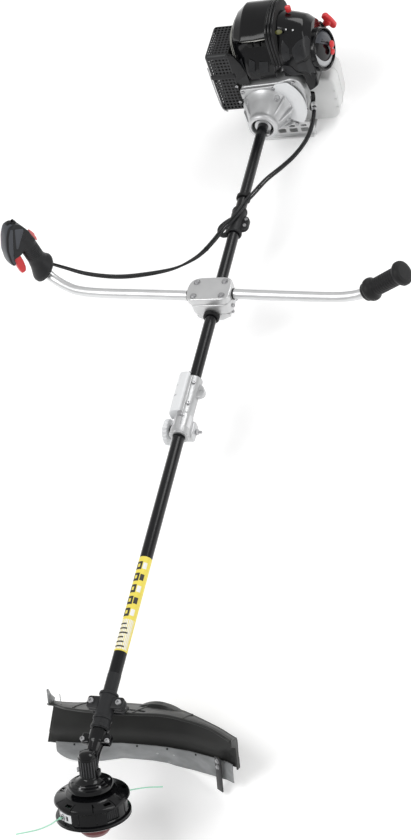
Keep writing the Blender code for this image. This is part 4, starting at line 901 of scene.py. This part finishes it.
for x, z in ((-47, 53), (28, 57)):
    screw((x, 1598, z), (0, -1, 0), "machine", 4.4, 3.6)
for x in (-10, 10):
    put("sleeve_tail_%d" % x, box((x - 3, 1526, -19), (x + 3, 1545, -13.5), 1.2), ALU_SMOOTH, "machine")

# ---------------------------------------------------------------- fan housing and stand
scroll = fillet([(-54, 60), (38, 64), (72, 73), (90, 60), (96, 32), (94, 2), (85, -28), (64, -50), (34, -60), (-22, -60), (-54, -34)], 12, 5)
fanh = placed(prism(scroll, -1649, -1607.4, 4.0, 4), FRONT)
cham = placed(lathe([(0, 1655), (49, 1655), (49, 1611.5), (40, 1611.5), (40, 1600), (0, 1600)][::-1], 64), Matrix.Rotation(-math.pi / 2, 4, "X"))
fanh = boolean(fanh, cham, placed(prism(fillet([(54, 30), (76, 50), (84, 28), (80, 0), (66, -22), (54, -30)], 8, 4), -1611, -1600), FRONT))
put("fan_casting", fanh, ALU, "machine", M, ["fan_housing"])
crescent = []
for k in range(25):
    a = math.radians(-36 + 4.2 * k)
    crescent.append([((46 + 44 * j / 6) * math.cos(a), 1606.4 - 8.5 * math.sin(math.pi * (0.1 + 0.8 * j / 6)),
                      min((46 + 44 * j / 6) * math.sin(a), 66)) for j in range(7)])
put("fan_cover_dish", grid(crescent, 2.0), WHITE, "machine")
for x, z in ((74, 62), (86, -20), (60, -46), (-46, -28)):
    screw((x, 1606.5, z), (0, -1, 0), "machine", 5.0, 4.0)
W = Matrix.Translation(Vector((8.5, 0, 0)) * MM)
sole = box((-50, 790, 0.05), (84, 962, 5), 1.2)
inv = W.inverted() @ M
front_leg = placed(placed(prism(fillet([(-40, -105), (90, -105), (90, -70), (72, -61), (-30, -61), (-40, -74)], 5, 4), -1619, -1614, 1.0), FRONT), inv)
back_leg = placed(box((-34, 1746, -97), (34, 1751, -63), 1.5), inv)
sole = boolean(sole, front_leg, back_leg, op="UNION")
slots = [placed(box((x, 1600, -92), (x + 20, 1630, -80), 2.5), inv) for x in (0, 28, 56)] + [placed(box((x, 1600, -76), (x + 14, 1630, -70), 2.0), inv) for x in (4, 30, 58)]
slots += [box((-30 + 38 * k, 830, -10), (-10 + 38 * k, 930, 20), 4) for k in range(3)]
put("stand_frame", boolean(sole, *slots), ALU_SMOOTH, "machine", W, ["engine_stand"])
for x in (22, 52):
    screw((x, 1614, -66), (0, -1, 0), "machine", 4.4, 3.8, "hex")

# ---------------------------------------------------------------- engine top cover (dome)
LEFT_EDGE = [(1646, 76), (1641, 95), (1637, 115), (1636, 133), (1639, 150), (1646, 164), (1662, 172), (1684, 173.5), (1710, 170), (1734, 162), (1748, 150), (1753, 120), (1755, 76)]
SHOULDER = [(1624, 76), (1622, 95), (1628, 118), (1636, 142), (1634, 158), (1634, 170), (1642, 180), (1662, 189), (1690, 192), (1715, 189), (1740, 176), (1756, 148), (1759, 76)]
CENTRE = [(1612, 76), (1613, 92), (1622, 120), (1636, 146), (1637, 160), (1618, 178), (1622, 186), (1644, 198), (1670, 207), (1700, 210), (1733, 199), (1755, 170), (1759.5, 76)]
RIGHT = [(1612, 76), (1613, 92), (1620, 120), (1632, 146), (1633, 162), (1620, 178), (1624, 187), (1646, 200), (1670, 209), (1700, 211), (1733, 200), (1755, 170), (1759.5, 76)]


stations = {-55.5: LEFT_EDGE, -44: SHOULDER, -22: CENTRE, 10: CENTRE, 38: RIGHT}
stations = {k: resample(v) for k, v in stations.items()}
cols = []
for i in range(49):
    x = -55.5 + 93.3 * i / 48
    cols.append([(x, a, b) for a, b in lerp_profile(stations, x)])
put("dome_shell", grid(cols, 2.0, 0), GLOSS, "machine", M, ["top_cover"], angle=48)
# side panel closing the dome's left side, with its double edge bead coloured light grey as a painted highlight
side_pts = resample(LEFT_EDGE)
panel = placed(prism(side_pts, -56, -53.8, 0.5, 2), SIDE)
grille = [placed(prism(fillet([(1668, 92 + 13 * k), (1730, 92 + 13 * k), (1730, 98 + 13 * k), (1668, 98 + 13 * k)], 2.5, 3), -60, -50), SIDE) for k in range(5)]
put("dome_side", boolean(panel, *grille), GLOSS, "machine", M)
edge_path = [Vector((-55.2, a, b)) for a, b in side_pts[8:-4]]
put("dome_edge_outer", sweep(edge_path, 1.3, 10, up=Vector((1, 0, 0))), PAINTED_HIGHLIGHT, "machine")
edge_path = [Vector((-51.2, a - 0.8 if b < 150 else a, b + (0.9 if b >= 150 else 0.4))) for a, b in lerp_profile(stations, -51.2)[8:-4]]
put("dome_edge_inner", sweep(edge_path, 0.9, 10, up=Vector((1, 0, 0))), PAINTED_HIGHLIGHT, "machine")
# grey facets on the lower front ramp, and dark matte boxes under the ledge as painted shade in the recess
for nm, pts in (("a", [(-24, 1613.6, 96), (-8, 1612.6, 96), (-4, 1621.5, 119), (-16, 1624, 126)]), ("b", [(2, 1612.0, 92), (24, 1612.0, 92), (27, 1620.4, 117), (6, 1620.8, 118)])):
    a, b, c, d = [Vector(p) for p in pts]
    rows = []
    for i in range(9):
        u = i / 8
        rows.append([tuple(a.lerp(b, u).lerp(d.lerp(c, u), j / 6) + Vector((0, -0.9, 0.35))) for j in range(7)])
    put("dome_facet_" + nm, grid(rows, 0.9), FACET, "machine")
# bead along the ledge, light grey as a painted highlight
ledge = [Vector((-21 + 57 * k / 20, 1617.0 + 2.2 * abs(k - 12) / 12, 178 + 2.2 * (k / 20))) for k in range(21)]
put("dome_ledge_bead", sweep(ledge, 1.1, 12), PAINTED_HIGHLIGHT, "machine")
# dark matte boxes under the ledge: painted shade in the recess
for k in range(3):
    put("dome_louvre_%d" % k, box((-16 + 17 * k, 1633, 148), (-3 + 17 * k, 1636.6, 160), 1.6), GAP_AND_SHADE_DARK, "machine")

baffle = fillet([(-66, 66), (-34, 62), (-30, 90), (-38, 120), (-50, 146), (-66, 150)], 5, 4)
put("engine_baffle", placed(prism(baffle, -1621, -1614.5, 1.6, 3), FRONT), GLOSS, "machine")
rows = []
for i in range(7):
    u = i / 6
    rows.append([(-54 + 26 * u - 6 * (j / 6), 1613.5 - 2 * u + 12 * (j / 6), 64 + (44 + 22 * u) * j / 6) for j in range(7)])
put("engine_baffle_ramp", grid(rows, 1.6), FACET, "machine")

# ---------------------------------------------------------------- ribbed central column
column_side = fillet([(1612.5, 104), (1611.2, 150), (1611.4, 176), (1617, 196), (1632, 208), (1660, 213.5), (1700, 214), (1730, 205), (1752, 176), (1756, 110), (1740, 100), (1640, 100)], 12, 5)
for k, (x0, x1, drop) in enumerate(((37.0, 43.4, 2.0), (44.6, 50.4, 0), (51.6, 57.0, 1.4))):
    pts = [(a, b - drop) for a, b in column_side]
    put("column_rib_%d" % k, boolean(placed(prism(pts, x0, x1, 2.4, 5), SIDE), box((46, 1652, 90), (64, 1712, 118))), GLOSS, "machine")
# the core showing between the ribs is dark matte: painted shade between the ribs
column_core = [(a + 2.4, b - 3.4) for a, b in column_side]
put("column_core", boolean(placed(prism(column_core, 36.2, 58.4, 1.0, 2), SIDE), box((46, 1652, 90), (64, 1712, 118))), GAP_AND_SHADE_DARK, "machine")

# ---------------------------------------------------------------- right hood over the carburettor
H_BOTTOM = {38: 86, 60: 92, 97: 74, 108: 58, 118: 38, 129.4: 42}


def hood_col(x):
    """Front, roof and back of the hood for one x."""
    t = (x - 58) / (129.4 - 58)
    top = 197 - 9.0 * t - 14 * t * t - 9.0 * max(t - 0.8, 0) / 0.2
    front = 1613.5 - 1.5 * math.sin(math.pi * t) + (10 * max(t - 0.82, 0) / 0.18)
    low = 76.5 if t < 0.56 else 76.5 - 60 * (t - 0.56)
    mid = low + (top - low) * 0.45
    return [(x, front + 0.5, low), (x, front, low + 12), (x, front + 0.6, mid), (x, front + 8, mid + 20), (x, front + 20, mid + 38), (x, front + 34, top - 9), (x, front + 52, top - 1.2),
            (x, 1684, top - 1), (x, 1706, top - 9), (x, 1724, top - 26), (x, 1734, top - 50), (x, 1737.5, 46)]


cols = []
for i in range(37):
    x = 58 + (129.4 - 58) * i / 36
    base_col = hood_col(x)
    cols.append([(x, a, b) for a, b in resample([(q[1], q[2]) for q in base_col], 4)])
put("hood_shell", grid(cols, 2.0), GLOSS, "machine", M, ["carburettor_hood"], angle=50)
end = hood_col(129.4)
end_pts = resample([(q[1], q[2]) for q in end], 4)
end_panel = placed(prism(end_pts, 127.4, 129.6, 0.6, 2), SIDE)
eye_cut = placed(lathe([(0, 200), (40.6, 200), (40.6, 60), (0, 60)], 64), T(0, 1672, 97) @ ACROSS)
put("hood_end", boolean(end_panel, eye_cut), GLOSS, "machine")
# facet, parting line and lower skirt of the hood


def front_of(x, z):
    """The hood's front surface at a point."""
    col = resample([(q[1], q[2]) for q in hood_col(min(max(x, 58), 129.4))], 6)
    for (y0, z0), (y1, z1) in zip(col, col[1:]):
        if z0 <= z <= z1:
            return y0 + (y1 - y0) * (z - z0) / max(z1 - z0, 1e-6)
    return col[0][0]


def raised(name, outline, mat_, lift=1.1):
    """A thin plate on the hood's front, following its surface."""
    flat = prism(fillet(outline, 4, 4), 0, 1.6, 0.7, 3)
    bm = bmesh.new()
    bm.from_mesh(flat)
    bmesh.ops.triangulate(bm, faces=bm.faces)
    for _ in range(3):
        bmesh.ops.subdivide_edges(bm, edges=[e for e in bm.edges if e.calc_length() > 6], cuts=1)
        bmesh.ops.triangulate(bm, faces=bm.faces)
    for v in bm.verts:
        x, z, d = v.co
        v.co = Vector((x, front_of(x, z) - lift + 1.2 - d, z))
    bpy.data.meshes.remove(flat)
    return put(name, from_bm(bm), mat_, "machine")


raised("hood_facet_upper", [(89, 146), (104, 158), (122, 160), (128, 145), (125, 124), (93, 114)], FACET)
raised("hood_facet_side", [(92, 109), (124, 116), (127, 92), (126, 72), (119, 70), (113, 86), (92, 92)], FACET)
raised("hood_facet_low", [(60, 108), (78, 106), (88, 88), (104, 80), (70, 79), (60, 92)], FACET)
raised("hood_facet_top", [(66, 118), (82, 124), (84, 148), (70, 166), (64, 150)], FACET, 0.8)
skirt_ = fillet([(99, 90), (100, 62), (104, 27), (118, 34), (129, 43), (130, 66), (120, 82), (108, 92)], 6, 4)
put("hood_lower_skirt", placed(prism(skirt_, -1735, -1613.4, 4.0, 4), FRONT), GLOSS, "machine")
strip = [Vector((111, 1610.6, 26)), Vector((110, 1609.6, 14)), Vector((106, 1609.2, 0)), Vector((100, 1609.2, -14)), Vector((97, 1609.6, -24))]
put("cable_strip", sweep(catmull(strip, 3), 6.2, 20, (1.0, 0.55)), GLOSS, "machine")
put("cable_ferrule", lathe([(6.6, 6), (6.6, -6), (5.3, -6), (5.3, 6)], 32, ring=True, r=1.2), ALU_SMOOTH, "machine", facing((112, 1592, 3.4), (-0.32, 0.94, 0.08)))

# olive oval badge and small screws
badge = prism([(8.4 * math.cos(2 * math.pi * k / 40), 5.0 * math.sin(2 * math.pi * k / 40)) for k in range(40)], 0, 2.0, 0.7, 3)
rim_b = boolean(prism([(9.6 * math.cos(2 * math.pi * k / 40), 6.2 * math.sin(2 * math.pi * k / 40)) for k in range(40)], 0, 1.6, 0.6, 3),
                prism([(8.5 * math.cos(2 * math.pi * k / 40), 5.1 * math.sin(2 * math.pi * k / 40)) for k in range(40)], -1, 3))
BADGE = facing((66, 1634, 184), (0.02, -0.72, 0.69))
put("badge_plate", badge, OLIVE, "machine", BADGE)
put("badge_rim", rim_b, GLOSS, "machine", BADGE)
for pos in ((82, 1640, 184.5), (97, 1640, 181.0)):
    screw(pos, (0, -0.5, 0.86), "machine", 1.9, 1.4, mat=WHITE)

# cover knob
KNOB = M @ T(81, 1692, 191)
lob = [((7.0 + 0.5 * math.cos(10 * 2 * math.pi * k / 80)) * math.cos(2 * math.pi * k / 80), (7.0 + 0.5 * math.cos(10 * 2 * math.pi * k / 80)) * math.sin(2 * math.pi * k / 80)) for k in range(80)]
knob_m = boolean(prism([(0.9 * a, 0.9 * b) for a, b in lob], 2.4, 15.2, 1.8, 4), lathe([(0, 19), (4.4, 19), (3.9, 14.8), (0, 14.8)][::-1], 32))
put("cover_knob_grip", knob_m, RED, "cover_screw", KNOB, ["cover_knob"])
put("cover_knob_centre", prism(fillet([(-3.7, -1.4), (3.7, -1.4), (3.7, 1.4), (-3.7, 1.4)], 1, 3), 14.6, 16.0, 0.5), PINK, "cover_screw", KNOB)

# ---------------------------------------------------------------- air filter eye on the right end
EYE = M @ T(0, 1672, 97) @ ACROSS
EYE_FACE = M @ T(131, 1670, 98) @ R(-12, "Z") @ R(-9, "Y") @ T(-131, 0, 0) @ ACROSS


def oval(mesh, sx=1.0, sy=1.0):
    mesh.transform(Matrix.Diagonal((sx, sy, 1, 1)))
    return mesh


rim_eye = lathe([(48.0, 146), (49.2, 122), (44, 118), (41, 122), (41, 136), (43.2, 147), (44.8, 149.8), (46.8, 148.8)], 80, ring=True, r=1.2)
put("eye_rim", rim_eye, GLOSS, "machine", EYE_FACE, ["air_filter_cover"])
face_pts = [(0, 153.4), (12, 153.2), (24, 152.0), (34, 149.2), (40, 145.4), (42.8, 140), (42.8, 130), (0, 130)]
bite = placed(lathe([(0, 190), (37.5, 190), (37.5, 100), (0, 100)], 72), T(-12, 1.5, 0))
half_b = placed(box((-60, 9, 100), (60, 60, 180)), R(44, "Z"))
put("eye_grey_wedge", boolean(lathe(face_pts, 80), half_b, op="INTERSECT"), GREYFACE, "machine", EYE_FACE)
put("eye_silver_crescent", boolean(boolean(lathe(face_pts, 80), bite), placed(box((-60, 8.4, 100), (60, 60, 180)), R(44, "Z"))), SILVER, "machine", EYE_FACE)
put("eye_dark_gap", lathe([(0, 151.2), (12, 151.0), (24, 149.8), (34, 147), (39.6, 143.4), (42, 138.6), (42, 134), (0, 134)], 64), GLOSS, "machine", EYE_FACE)
for k in range(5):
    put("eye_rib_%d" % k, placed(box((-22 + 2.5 * k, 13 + 4.6 * k, 150.6 - 1.1 * k), (22 - 2.5 * k, 15 + 4.6 * k, 153.6 - 1.5 * k), 0.6, 2), R(44, "Z")), GREYP, "machine", EYE_FACE)
# choke lever: two-lobed red handle
CH = M @ T(-0.9, 1676, 94)
lever = placed(lathe([(0, 168.4), (4.5, 168), (7.8, 165.6), (8.6, 162), (8.0, 159), (0, 158.8)], 40, r=1.0), T(0, 2.5, 8.5) @ ACROSS)
other = placed(lathe([(0, 166.4), (4.5, 166), (7.4, 163.6), (8.2, 161), (7.6, 159), (0, 158.8)], 40, r=1.0), T(0, -2.5, -7.5) @ ACROSS)
waist = box((158.9, -5, -8), (163.4, 5, 8), 1.6)
lever = boolean(lever, other, waist, op="UNION")
hole = placed(lathe([(0, 170), (3.2, 170), (3.2, 150), (0, 150)], 24), ACROSS)
lever = boolean(lever, hole)
put("choke_handle", lever, RED, "choke", CH, ["choke_lever"])
put("choke_pivot", lathe([(0, 164.6), (2.4, 164.6), (3.0, 163.8), (3.0, 157.5), (0, 157.5)], 24), ZINC, "choke", CH @ ACROSS)

# ---------------------------------------------------------------- exhaust shield and silencer


def perforated(u0, u1, v0, v1, pitch, r, thick=1.2):
    """A flat sheet in local XY with rows of round holes."""
    nu, nv = max(1, round((u1 - u0) / pitch)), max(1, round((v1 - v0) / pitch))
    du, dv = (u1 - u0) / nu, (v1 - v0) / nv
    bm = bmesh.new()
    for i in range(nu):
        for j in range(nv):
            cx, cy = u0 + (i + 0.5) * du, v0 + (j + 0.5) * dv
            sq = [(1, 0), (1, 1), (0, 1), (-1, 1), (-1, 0), (-1, -1), (0, -1), (1, -1)]
            outer = [bm.verts.new((cx + a * du / 2, cy + b * dv / 2, 0)) for a, b in sq]
            inner = [bm.verts.new((cx + r * math.cos(math.pi / 4 * k), cy + r * math.sin(math.pi / 4 * k), 0)) for k in range(8)]
            for k in range(8):
                bm.faces.new((outer[k], outer[(k + 1) % 8], inner[(k + 1) % 8], inner[k]))
    bmesh.ops.remove_doubles(bm, verts=bm.verts, dist=0.01)
    return modified(from_bm(bm), ("SOLIDIFY", {"thickness": thick, "offset": 0}))


XY_TO_XZ = Matrix.Rotation(math.pi / 2, 4, "X")
shield = box((-118, 1614, -14), (-58, 1724, 150), 9, 5)
shield = boolean(shield, box((-116.4, 1615.6, -12.4), (-30, 1722.4, 148.4), 7.6, 5),
                 box((-111, 1622, 140), (-62, 1716, 160)), box((-111, 1600, 96), (-62, 1620, 140)), box((-111, 1600, -6), (-62, 1620, 82)),
                 box((-125, 1622, -4), (-110, 1716, 60)), box((-125, 1622, 72), (-110, 1716, 140)))
put("shield_frame", shield, MESHY, "machine", M, ["muffler_guard"])
put("shield_top_mesh", perforated(-112, -61, 1621, 1717, 8.6, 3.1), MESHY, "machine", M @ T(0, 0, 149.2))
for nm, z0, z1 in (("upper", 95, 141), ("lower", -7, 83)):
    put("shield_front_%s" % nm, perforated(-112, -61, z0, z1, 8.6, 3.1), MESHY, "machine", M @ T(0, 1614.8, 0) @ XY_TO_XZ)
for nm, z0, z1 in (("upper", 71, 141), ("lower", -5, 61)):
    put("shield_side_%s" % nm, perforated(1621, 1717, z0, z1, 8.6, 3.1), MESHY, "machine", M @ T(-117.2, 0, 0) @ SIDE)
trim = [Vector((-117.0, 1613.8, 118)), Vector((-117.6, 1613.8, 60)), Vector((-116.6, 1613.8, 10)), Vector((-112, 1613.8, -8)), Vector((-104, 1613.8, -13))]
put("shield_trim", sweep(catmull(trim, 4), 2.0, 12, (1.0, 0.7)), ALU_SMOOTH, "machine")
put("shield_band", box((-116, 1612.8, 83), (-58.5, 1616, 95), 1.4), GLOSS, "machine")
for x, z in ((-66, 14), (-62, 60)):
    screw((x, 1612.6, z), (0, -1, 0), "machine", 3.6, 2.6)
# the second box fills the shield down to its bottom: a dark block as painted shade behind the mesh
can = merged(box((-104.6, 1654, 58), (-46, 1714, 134), 9, 5), box((-110.4, 1631, -5), (-64, 1714.6, 139), 9, 5), box((-105, 1652.4, 93), (-46, 1715.6, 97), 1.6), placed(lathe([(9, 20), (9, 0), (6.6, 0), (6.6, 20)], 32, ring=True), T(-84, 1652, 76) @ R(90, "X")))
put("silencer_can", can, material("burnt_steel", (0.035, 0.032, 0.030), 0.6, metal=0.3, grain=0.3, vary=0.3, blotch=40), "machine", M, ["muffler"])

# ---------------------------------------------------------------- carburettor side
carb_m = merged(box((48, 1662, 85), (96, 1690, 109.6), 4, 4), placed(lathe([(14, 0), (14, 4), (10, 6), (10, 0)], 32, ring=True), T(94, 1676, 97) @ ACROSS), box((60, 1657, 90), (84, 1663, 104), 2))
put("carburettor_casting", carb_m, ALU, "machine", M, ["carburettor"])
pleats = []
for k in range(120):
    a = 2 * math.pi * k / 120
    r_ = 37.6 if k % 2 else 33.5
    pleats.append((r_ * math.cos(a), r_ * math.sin(a)))
filt = boolean(prism(pleats, 100.2, 125.8), lathe([(0, 140), (14, 140), (14, 90), (0, 90)], 32))
put("filter_element", filt, FOAM, "machine", M @ T(0, 1672, 97) @ ACROSS, ["air_filter"])

# ---------------------------------------------------------------- fuel tank
TANK_OUT = [(-52, -63), (-52, -93.5), (128, -93.5), (142, -86), (150, -60), (152, 10), (146, 24), (108, 28), (99, 20), (64, -58), (60, -63)]
tank = placed(prism(fillet(TANK_OUT, 9, 5), -1736, -1652, 7, 5), FRONT)
put("tank_shell", tank, TANK, "machine", M, ["fuel_tank"])
seam_pts = [Vector((x, 1694, z)) for x, z in fillet(TANK_OUT, 9, 5)]
seam_pts.append(seam_pts[0])
put("tank_weld", sweep(seam_pts, 1.3, 10, up=Vector((0, 1, 0)), cap=False), TANK, "machine")
for k in range(3):
    put("tank_rib_%d" % k, box((141 + 1.5 * k, 1650.6, -62 + 24 * k), (149 + 0.6 * k, 1654, -56 + 24 * k), 1.2), TANK, "machine")
capo = []
for k in range(96):
    a = 2 * math.pi * k / 96
    r_ = 18.9 if (k // 3) % 2 else 17.9
    capo.append((r_ * math.cos(a), r_ * math.sin(a)))
cap_m = boolean(prism(capo, 1736.6, 1751.8, 1.4, 3), box((-20, 4, 1748.5), (20, 20, 1760), 1), box((-20, -20, 1748.5), (20, -4, 1760), 1))
put("fuel_cap_top", merged(cap_m, lathe([(11.5, 1736.6), (11.5, 1728.4), (0, 1728.4), (0, 1736.6)][::-1], 32)), GREYP, "cap", M @ T(112, 0, -45) @ Matrix.Rotation(-math.pi / 2, 4, "X"),
    ["fuel_cap"])

# ---------------------------------------------------------------- recoil starter
PULL = Vector((140, 0, 108)).normalized()
pull_angle = math.atan2(PULL.z, PULL.x)
out_angle = pull_angle + math.acos(28.0 / 168.0)
start = Vector((28 * math.cos(out_angle), 1753, 28 * math.sin(out_angle)))
end = Vector((168.0 * PULL.x, 1753, 168.0 * PULL.z))
rope_dir = (end - start).normalized()
drumc = placed(lathe([(62, 1740), (62, 1770), (60, 1777), (54, 1783), (46, 1785.6), (0, 1785.6), (0, 1782.6), (45, 1782.6), (57, 1776), (59, 1768), (59, 1740)], 80, r=1.2), Matrix.Rotation(-math.pi / 2, 4, "X"))
arm = placed(box((40, -9, -11), (162, 9, 11), 4, 4), T(0, 1753, 0) @ R(-math.degrees(pull_angle), "Y"))
drumc = boolean(drumc, boolean(arm, placed(lathe([(0, 1800), (58.5, 1800), (58.5, 1700), (0, 1700)], 48), Matrix.Rotation(-math.pi / 2, 4, "X"))), op="UNION")
vents = [placed(box((26, -3, 1760), (50, 3, 1800), 1.5), Matrix.Rotation(-math.pi / 2, 4, "X") @ R(30 * k, "Z")) for k in range(12)]
chan = placed(lathe([(0, 190), (4.2, 190), (4.2, 30), (0, 30)], 20), Matrix.Translation(start * MM) @ Vector((0, 0, 1)).rotation_difference(rope_dir).to_matrix().to_4x4())
drumc = boolean(drumc, chan, *vents)
put("starter_case", drumc, GLOSS, "machine", M, ["starter_housing"])
put("starter_post", placed(lathe([(0, 1783.5), (5, 1783.5), (5, 1745), (0, 1745)], 24), Matrix.Rotation(-math.pi / 2, 4, "X")), ZINC, "machine")
for a in (200, 280, 120):
    screw((55 * math.cos(math.radians(a)), 1779, 55 * math.sin(math.radians(a))), (0, 1, 0), "machine", 4.2, 3.0)
rope = sweep([start + rope_dir * d for d in range(0, 164, 3)], 1.6, 12)
rope.transform(Matrix.Scale(MM, 4))
rope.transform(M)
rope.name = "starter_rope_line"
rope_o = bpy.data.objects.new("starter_rope_line", rope)
bpy.context.scene.collection.objects.link(rope_o)
rope.materials.append(material("rope_braid", (0.05, 0.05, 0.052), 0.8, grain=0.8, grain_scale=1600, vary=0.5, blotch=900))
rope.shade_smooth()
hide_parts("starter_rope")
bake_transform(rope_o)
HANDLE = Matrix.Translation(end * MM) @ Vector((0, 0, 1)).rotation_difference(rope_dir).to_matrix().to_4x4()
th = lathe([(0, 19.8), (5.6, 19.6), (7, 18), (8.8, 14), (8.8, 5), (6, -1.6), (0, -1.8)], 40, r=1.2)
tb = placed(prism(fillet([(-21, 7.5), (-23, 14), (-20, 21.5), (0, 23), (18, 21.5), (21, 14), (18, 8.5), (0, 6)], 5, 5), -6.2, 6.2, 3.0, 4), R(90, "X"))
put("starter_tee", boolean(th, tb, op="UNION"), RED, "starter_grip", M @ HANDLE, ["starter_handle"])

# ---------------------------------------------------------------- CAD pieces that still show
NODE_LOOK = {"lower_drive_shaft": STEEL, "upper_drive_shaft": STEEL, "spindle": STEEL, "bevel_gear": STEEL, "drive_pinion": STEEL, "clutch_drum": STEEL, "clutch_rotor": ALU_SMOOTH,
             "crankshaft": STEEL, "flywheel": ALU, "crankcase": ALU, "cylinder": ALU, "throttle_arm": ZINC, "starter_pulley": GREYP}
SLOT_LOOK = {"steel": STEEL, "cast_aluminium": ALU, "grey_plastic": GREYP, "black_gloss": GLOSS, "rubber": RUBBER, "red_plastic": RED, "bar_tube": BAR, "painted_tube": TUBE}
for o in list(bpy.data.objects):
    if o.name in frame["nodes"] and o.type == "MESH" and not o.hide_render:
        look = NODE_LOOK.get(o.name, STEEL)
        for sl in o.material_slots:
            sl.material = look
        if not o.material_slots:
            print("no slots on", o.name)
        print("showing", o.name, look.name)

# ---------------------------------------------------------------- floor, light
bm = bmesh.new()
s = 14
for i in range(2):
    for j in range(2):
        bm.verts.new(((i - 0.5) * 2 * s, (j - 0.5) * 2 * s, -0.0004))
bm.verts.ensure_lookup_table()
bm.faces.new([bm.verts[0], bm.verts[2], bm.verts[3], bm.verts[1]])
fm = bpy.data.meshes.new("floor")
bm.to_mesh(fm)
bm.free()
floor = bpy.data.objects.new("floor", fm)
bpy.context.scene.collection.objects.link(floor)
paper = material("floor_paper", (0.97, 0.97, 0.97), 0.9, vary=0.003, rough_vary=0.02, specular=0.1)
paper.node_tree.nodes["Principled BSDF"].inputs["Emission Color"].default_value = (1, 1, 1, 1)
paper.node_tree.nodes["Principled BSDF"].inputs["Emission Strength"].default_value = 0.16
fm.materials.append(paper)
world = bpy.data.worlds.new("studio")
world.use_nodes = True
bg = world.node_tree.nodes["Background"]
bg.inputs[0].default_value = (1, 1, 1, 1)
bg.inputs[1].default_value = 0.56
bpy.context.scene.world = world
bpy.context.scene.view_settings.view_transform = "Standard"


def softbox(name, pos, target, w, h, power):
    d = bpy.data.lights.new(name, "AREA")
    d.shape, d.size, d.size_y, d.energy = "RECTANGLE", w, h, power
    o = bpy.data.objects.new(name, d)
    bpy.context.scene.collection.objects.link(o)
    o.location = pos
    o.rotation_euler = (Vector(target) - Vector(pos)).to_track_quat("-Z", "Y").to_euler()
    return o


softbox("key", (-1.6, -1.2, 3.4), (0, 0, 0.1), 1.6, 2.6, 62)
softbox("rear", (1.4, 2.6, 2.6), (0, 0.5, 0.1), 2.2, 1.2, 34)
softbox("side", (3.2, -0.6, 1.6), (0, 0, 0.1), 1.2, 2.4, 22)
